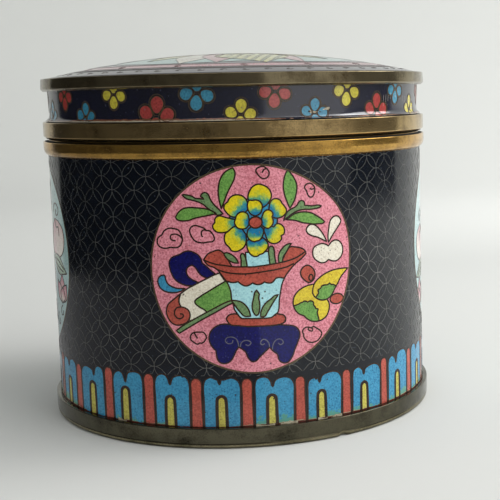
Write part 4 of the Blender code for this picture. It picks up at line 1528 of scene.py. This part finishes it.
def rounded(profile, closed):
    """Profile points with each corner turned into an arc. A point on an arc has a worn mark."""
    line, marks, strips = [], [], []
    count = len(profile)
    for i, (radius, height, fillet, *strip) in enumerate(profile):
        here = np.array([radius, height])
        steps = 1 if fillet == 0 or (not closed and i in (0, count - 1)) else 5
        before, after = (np.array(profile[(i + k) % count][:2]) for k in (-1, 1))
        start = here + (before - here) * min(0.45, fillet / np.linalg.norm(before - here))
        end = here + (after - here) * min(0.45, fillet / np.linalg.norm(after - here))
        for t in np.linspace(0, 1, steps):
            line.append(here if steps == 1 else (1 - t) ** 2 * start + 2 * t * (1 - t) * here + t**2 * end)
            marks.append(0.0 if steps == 1 else 1.0 if 0 < t < 1 else 0.35)
        strips += [None] * (steps - 1) + [strip[0] if strip else None]
    return line, marks, strips


def turned(name, profile, finish, closed=True, steps=STEPS):
    """A profile of (radius, height, rounding) in mm, turned about the axis. A point may also
    name another finish, for the strip that starts at it."""
    line, marks, strips = rounded(profile, closed)
    turns = np.arange(steps) * 2 * pi / steps
    points, worn, rings = [], [], []
    for (radius, height), mark in zip(line, marks):
        first = len(points)
        if radius < 1e-6:
            points.append((0.0, 0.0, height))
            worn.append(mark)
            rings.append([first] * steps)
            continue
        points += [(radius * cos(t), radius * sin(t), height) for t in turns]
        worn += [mark] * steps
        rings.append(list(range(first, first + steps)))
    names = [finish] + sorted({strip for strip in strips if strip})
    faces, indices = [], []
    for upper, lower, strip in zip(rings, rings[1:] + rings[:1] if closed else rings[1:], strips):
        for i in range(steps):
            j = (i + 1) % steps
            face = [upper[i], lower[i], lower[j], upper[j]]
            faces.append(list(dict.fromkeys(face)))
            indices.append(names.index(strip) if strip else 0)
    mesh = bpy.data.meshes.new(name)
    mesh.from_pydata((np.array(points) * MM).tolist(), [], faces)
    mesh.attributes.new("worn", "FLOAT", "POINT").data.foreach_set("value", worn)
    for name_of_finish in names:
        mesh.materials.append(finishes[name_of_finish])
    mesh.polygons.foreach_set("material_index", indices)
    mesh.shade_smooth()
    mesh.set_sharp_from_angle(angle=radians(50))
    print(name, len(faces), "faces")
    return add_object(name, mesh)


# %% The vessel and the lid's shell
WALL = 2.2
FLOOR_HIGH = 4.6
core_foot, core_top = wall_radius(wall_foot) - SKIN, wall_radius(wall_top) - SKIN
# The outside of the vessel's core, under the glass, takes the near-black painted shade.
vessel = turned("vessel", [
    (0, FLOOR_HIGH, 0), (core_foot + SKIN - WALL, FLOOR_HIGH, 4), (core_top + SKIN - WALL, wall_top, 0.3),
    (core_top, wall_top, 0, "grime"), (core_foot, wall_foot, 0.8), (0, wall_foot, 0)], "lining", closed=False)
finish_piece(vessel, "enamel", "jar_body")

LID_INSIDE = 54.0
SHELL = 1.5
inside_edge = float(dome_height(LID_INSIDE - 2)) - SHELL
dome_line = [(r, float(dome_height(r)) - SKIN, 0) for r in np.linspace(0, DOME_EDGE - 0.2, 14)]
inner_line = [(r, float(dome_height(r)) - SHELL, 0) for r in np.linspace(LID_INSIDE - 2, 0, 12)]
# The band's core and the strip below it, under the lower rim, take the near-black painted shade.
band_line = [(float(band_radius(z)) - SKIN, float(z), 0, "grime")
             for z in np.linspace(band_top, band_bottom + 0.05, 12)]
shell_foot = lid_rim_bottom + 1.1
shell = turned("lid_shell", dome_line + [(BAND_TOP_RADIUS - 0.1, top_rim_top - 0.4, 0)] + band_line + [
    (BAND_RADIUS, band_bottom, 0, "grime"), (BAND_RADIUS, shell_foot, 0), (LID_INSIDE, shell_foot, 0.3),
    (LID_INSIDE, inside_edge - 1.5, 1.2)] + inner_line, "lining", closed=False)
finish_piece(shell, "enamel", "lid")

# %% The four brass rims
foot_inner = wall_radius(foot_top) + 0.03
# Near-black strips paint the shade in the groove above the foot's lower bead and the contact shadow under its
# edge. The bead between them carries a painted highlight.
nicked = turned("foot_band", [
    (foot_inner, foot_top, 0.15), (foot_radius, foot_top, 0.3), (foot_radius, 1.5, 0.1, "grime"),
    (foot_radius - 0.2, 1.32, 0, "foot_edge"), (foot_radius - 0.08, 1.1, 0, "foot_edge"),
    (foot_radius - 0.1, 0.4, 0.15, "foot_edge"), (foot_radius - 0.35, 0.1, 0, "grime"),
    (foot_radius - 0.6, 0.0, 0), (foot_radius - 3.9, 0.0, 0.3),
    (foot_radius - 3.9, 2.0, 0.3), (foot_inner, 2.0, 0)],
    "foot_brass", steps=480)


def press_nick(piece, turn, height, size, depth):
    """Pushes a small dent into the outer edge at an angle in degrees right of the front."""
    at = np.array([sin(radians(turn)), -cos(radians(turn))]) * foot_radius
    for vertex in piece.data.vertices:
        x, y, z = vertex.co / MM
        away = np.hypot(x - at[0], np.hypot(y - at[1], (z - height) * 0.8))
        if away < size:
            push = depth * (1 - (away / size) ** 2)
            vertex.co *= 1 - push / foot_radius
            vertex.co.z = (z + push * 0.4) * MM


press_nick(nicked, 24.4, 0.4, 1.5, 0.6)
finish_piece(nicked, "brass", "foot_rim")

rim_bottom = wall_top + 0.3
joint = 81.4
seat_top = lid_rim_bottom - 0.3
neck = wall_radius(wall_top)
COLLAR_INSIDE, COLLAR_OUTSIDE, SEAT_RADIUS = 52.8, 53.6, 56.2
ROUND = 2.1
cushion = [(neck + (mouth_radius - neck) * cos(a), rim_bottom + ROUND * (1 - sin(a)), 0)
           for a in np.linspace(0, pi / 2, 7)]
# The collar's outside, the seat and the inner part of the rim's top, in the gap under the lid, take
# near-black painted shade.
mouth = turned("mouth_band", [
    (COLLAR_INSIDE, collar_top, 0.3), (COLLAR_OUTSIDE, collar_top, 0.3, "grime"),
    (COLLAR_OUTSIDE, seat_top, 0, "grime"), (SEAT_RADIUS, seat_top, 0.2, "grime"),
    (SEAT_RADIUS, joint, 0, "grime"), (mouth_radius - 0.45, joint, 0),
    (mouth_radius, joint, 0.3)] + cushion + [
    (neck + 0.03, rim_bottom - 0.1, 0), (COLLAR_OUTSIDE, rim_bottom - 0.1, 0),
    (COLLAR_OUTSIDE, collar_bottom, 0.3), (COLLAR_INSIDE, collar_bottom, 0.3)], "gold_brass")
finish_piece(mouth, "brass", "mouth_rim")

BEVEL = 0.65
# The underside of the lid's lower rim, over the gap, takes near-black painted shade.
lower = turned("lid_lower_band", [
    (BAND_RADIUS + 0.3, lid_rim_top, 0), (lid_rim_radius, lid_rim_top, 0.3),
    (lid_rim_radius, lid_rim_bottom + BEVEL, 0.12), (lid_rim_radius - BEVEL, lid_rim_bottom, 0, "grime"),
    (LID_INSIDE, lid_rim_bottom, 0.3), (LID_INSIDE, lid_rim_bottom + 0.8, 0.2),
    (BAND_RADIUS + 0.3, lid_rim_bottom + 0.8, 0)], "lid_brass")
finish_piece(lower, "brass", "lid_lower_rim")

upper = turned("lid_upper_band", [
    (BAND_TOP_RADIUS - 0.1, top_rim_top, 0.2), (top_rim_radius - 0.2, top_rim_top, 0.3),
    (top_rim_radius, top_rim_bottom + BEVEL, 0.12), (top_rim_radius - BEVEL, top_rim_bottom, 0),
    (BAND_TOP_RADIUS + 0.05, top_rim_bottom, 0.15)], "dark_brass")
finish_piece(upper, "brass", "lid_upper_rim")

# %% [markdown]
# ## The studio
# The jar stands on a pale sweep that rises all round it, so every view has a clean ground.
# Polished black glass shows whatever stands in front of it. In the photograph that is a dark
# room, with a paler wall to the right and the white sweep behind. A curtain that only glossy
# reflections can see stands for that room.

# %% The sweep
def stage_material(name, colour, roughness):
    made, tree, shader = new_material(name)
    shader.inputs["Base Color"].default_value = daylight(*colour)
    shader.inputs["Roughness"].default_value = roughness
    shader.inputs["Specular IOR Level"].default_value = 0.1
    return made


SWEEP_FLOOR = 700.0
SWEEP_CURVE = 500.0
SWEEP_TOP = 1400.0
curve = [(SWEEP_FLOOR + SWEEP_CURVE * sin(a), SWEEP_CURVE * (1 - cos(a))) for a in np.linspace(0, pi / 2, 12)]
sweep_profile = [(SWEEP_FLOOR + SWEEP_CURVE, SWEEP_TOP)] + curve[::-1] + [(0, 0)]
finishes["sweep"] = stage_material("sweep_paper", (212, 213, 210), 0.9)
sweep = turned("sweep", [(r, z - 0.02, 0) for r, z in sweep_profile], "sweep", closed=False, steps=96)
sweep.data.flip_normals()


# %% The curtain for reflections
CURTAIN_HEIGHT = 0.7
# Start and end angle from the front in degrees, distance in metres, glow at both ends
CURTAIN = [(-128, -45, 0.31, 0.012, 0.045), (-45, 12.5, 0.31, 0.045, 0.13), (12.5, 61, 0.31, 0.6, 0.6),
           (64.5, 104.5, 0.68, 0.12, 0.12)]


def make_curtain():
    points, faces, glows = [], [], []
    for start, end, away, first_glow, last_glow in CURTAIN:
        first = len(points)
        for part in np.linspace(0, 1, 16):
            angle = radians(start + (end - start) * part)
            foot = (away * sin(angle), -away * cos(angle))
            points += [(*foot, 0.001), (*foot, CURTAIN_HEIGHT)]
            glows += [first_glow + (last_glow - first_glow) * part] * 2
        faces += [(i, i + 1, i + 3, i + 2) for i in range(first, len(points) - 2, 2)]
    # The dim strip paints the shadow on the floor's left into the jar's reflections.
    first = len(points)  # a dim strip on the floor at the left, where the photograph's floor is darker
    for angle in np.radians(np.linspace(-150, 5, 24)):
        points += [(away * sin(angle), -away * cos(angle), 0.0006) for away in (0.1, 0.31)]
        glows += [0.32] * 2
    faces += [(i, i + 1, i + 3, i + 2) for i in range(first, len(points) - 2, 2)]
    mesh = bpy.data.meshes.new("curtain")
    mesh.from_pydata(points, [], faces)
    mesh.attributes.new("glow", "FLOAT", "POINT").data.foreach_set("value", glows)
    made, tree, shader = new_material("curtain")
    shader.inputs["Base Color"].default_value = (0, 0, 0, 1)
    shader.inputs["Specular IOR Level"].default_value = 0.0
    shader.inputs["Emission Strength"].default_value = 1.0
    level = add_node(tree, "ShaderNodeAttribute", attribute_name="glow").outputs["Color"]
    tree.links.new(level, shader.inputs["Emission Color"])
    mesh.materials.append(made)
    piece = add_object("curtain", mesh)
    for ray in ("camera", "diffuse", "transmission", "volume_scatter", "shadow"):
        setattr(piece, "visible_" + ray, False)
    return piece


make_curtain()


# %% Lights and world
def area_light(name, place, target, size, power, tint=(1, 1, 1)):
    lamp = bpy.data.lights.new(name, "AREA")
    lamp.shape = "DISK"
    lamp.size = size
    lamp.energy = power
    lamp.color = tint
    holder = bpy.data.objects.new(name, lamp)
    bpy.context.scene.collection.objects.link(holder)
    holder.location = place
    holder.rotation_euler = (Vector(target) - Vector(place)).to_track_quat("-Z", "Y").to_euler()


area_light("window", (0.6, -0.33, 0.55), (0, 0, 0.05), 1.1, 6.0, (1.0, 1.0, 0.99))
area_light("ceiling", (0.1, -0.1, 1.3), (0.1, 0, 0), 1.2, 2.0, (0.98, 1.0, 1.0))
area_light("backdrop", (0.45, 0.3, 0.5), (0.42, 1.25, 0.4), 0.5, 3.3)
area_light("side", (0.5, 0.06, 0.42), (0.24, 0.1, 0), 0.4, 1.7)
world = bpy.data.worlds.new("room")
world.use_nodes = True
world.node_tree.nodes["Background"].inputs["Color"].default_value = (0.9, 0.91, 0.93, 1)
world.node_tree.nodes["Background"].inputs["Strength"].default_value = 0.5
bpy.context.scene.world = world
bpy.context.scene.view_settings.view_transform = "Standard"

# %% [markdown]
# ## The camera
# The camera was matched to the rims and side edges in the photograph. It stands about 34 cm from
# the jar's axis, as high as the lid's band, looks down by nine degrees and is rolled by one. The
# match puts the lens's axis beside the picture's middle, as in a crop, so the lens is shifted.
# The middle of the front medallion faces 3.24 degrees to the camera's right.

# %% Camera matched to the photograph
PHOTO_SIZE = 500  # pixels on a side
SENSOR = 36.0
FOCAL_PIXELS = 1085.61
CENTRE = (330.44, 266.58)
PITCH, ROLL, YAW = radians(9.08), radians(-1.22), radians(4.79)
DISTANCE, EYE_HEIGHT = 339.32, 93.71
FRONT_TURN = radians(3.24)

ahead = Vector((sin(YAW) * cos(PITCH), cos(YAW) * cos(PITCH), -sin(PITCH)))
level_right = Vector((cos(YAW), -sin(YAW), 0))
upright = level_right.cross(ahead)
right = cos(ROLL) * level_right + sin(ROLL) * upright
up = -sin(ROLL) * level_right + cos(ROLL) * upright
turn = Matrix.Rotation(-FRONT_TURN, 4, "Z")
pose = Matrix((right, up, -ahead)).transposed().to_4x4()
pose.translation = Vector((0, -DISTANCE, EYE_HEIGHT)) * MM

camera = bpy.data.cameras.new("camera")
camera.sensor_width = SENSOR
camera.lens = FOCAL_PIXELS * SENSOR / PHOTO_SIZE
camera.shift_x = (PHOTO_SIZE / 2 - CENTRE[0]) / PHOTO_SIZE
camera.shift_y = (CENTRE[1] - PHOTO_SIZE / 2) / PHOTO_SIZE
camera.clip_start = 0.01
eye = bpy.data.objects.new("camera", camera)
bpy.context.scene.collection.objects.link(eye)
eye.matrix_world = turn @ pose
bpy.context.scene.camera = eye
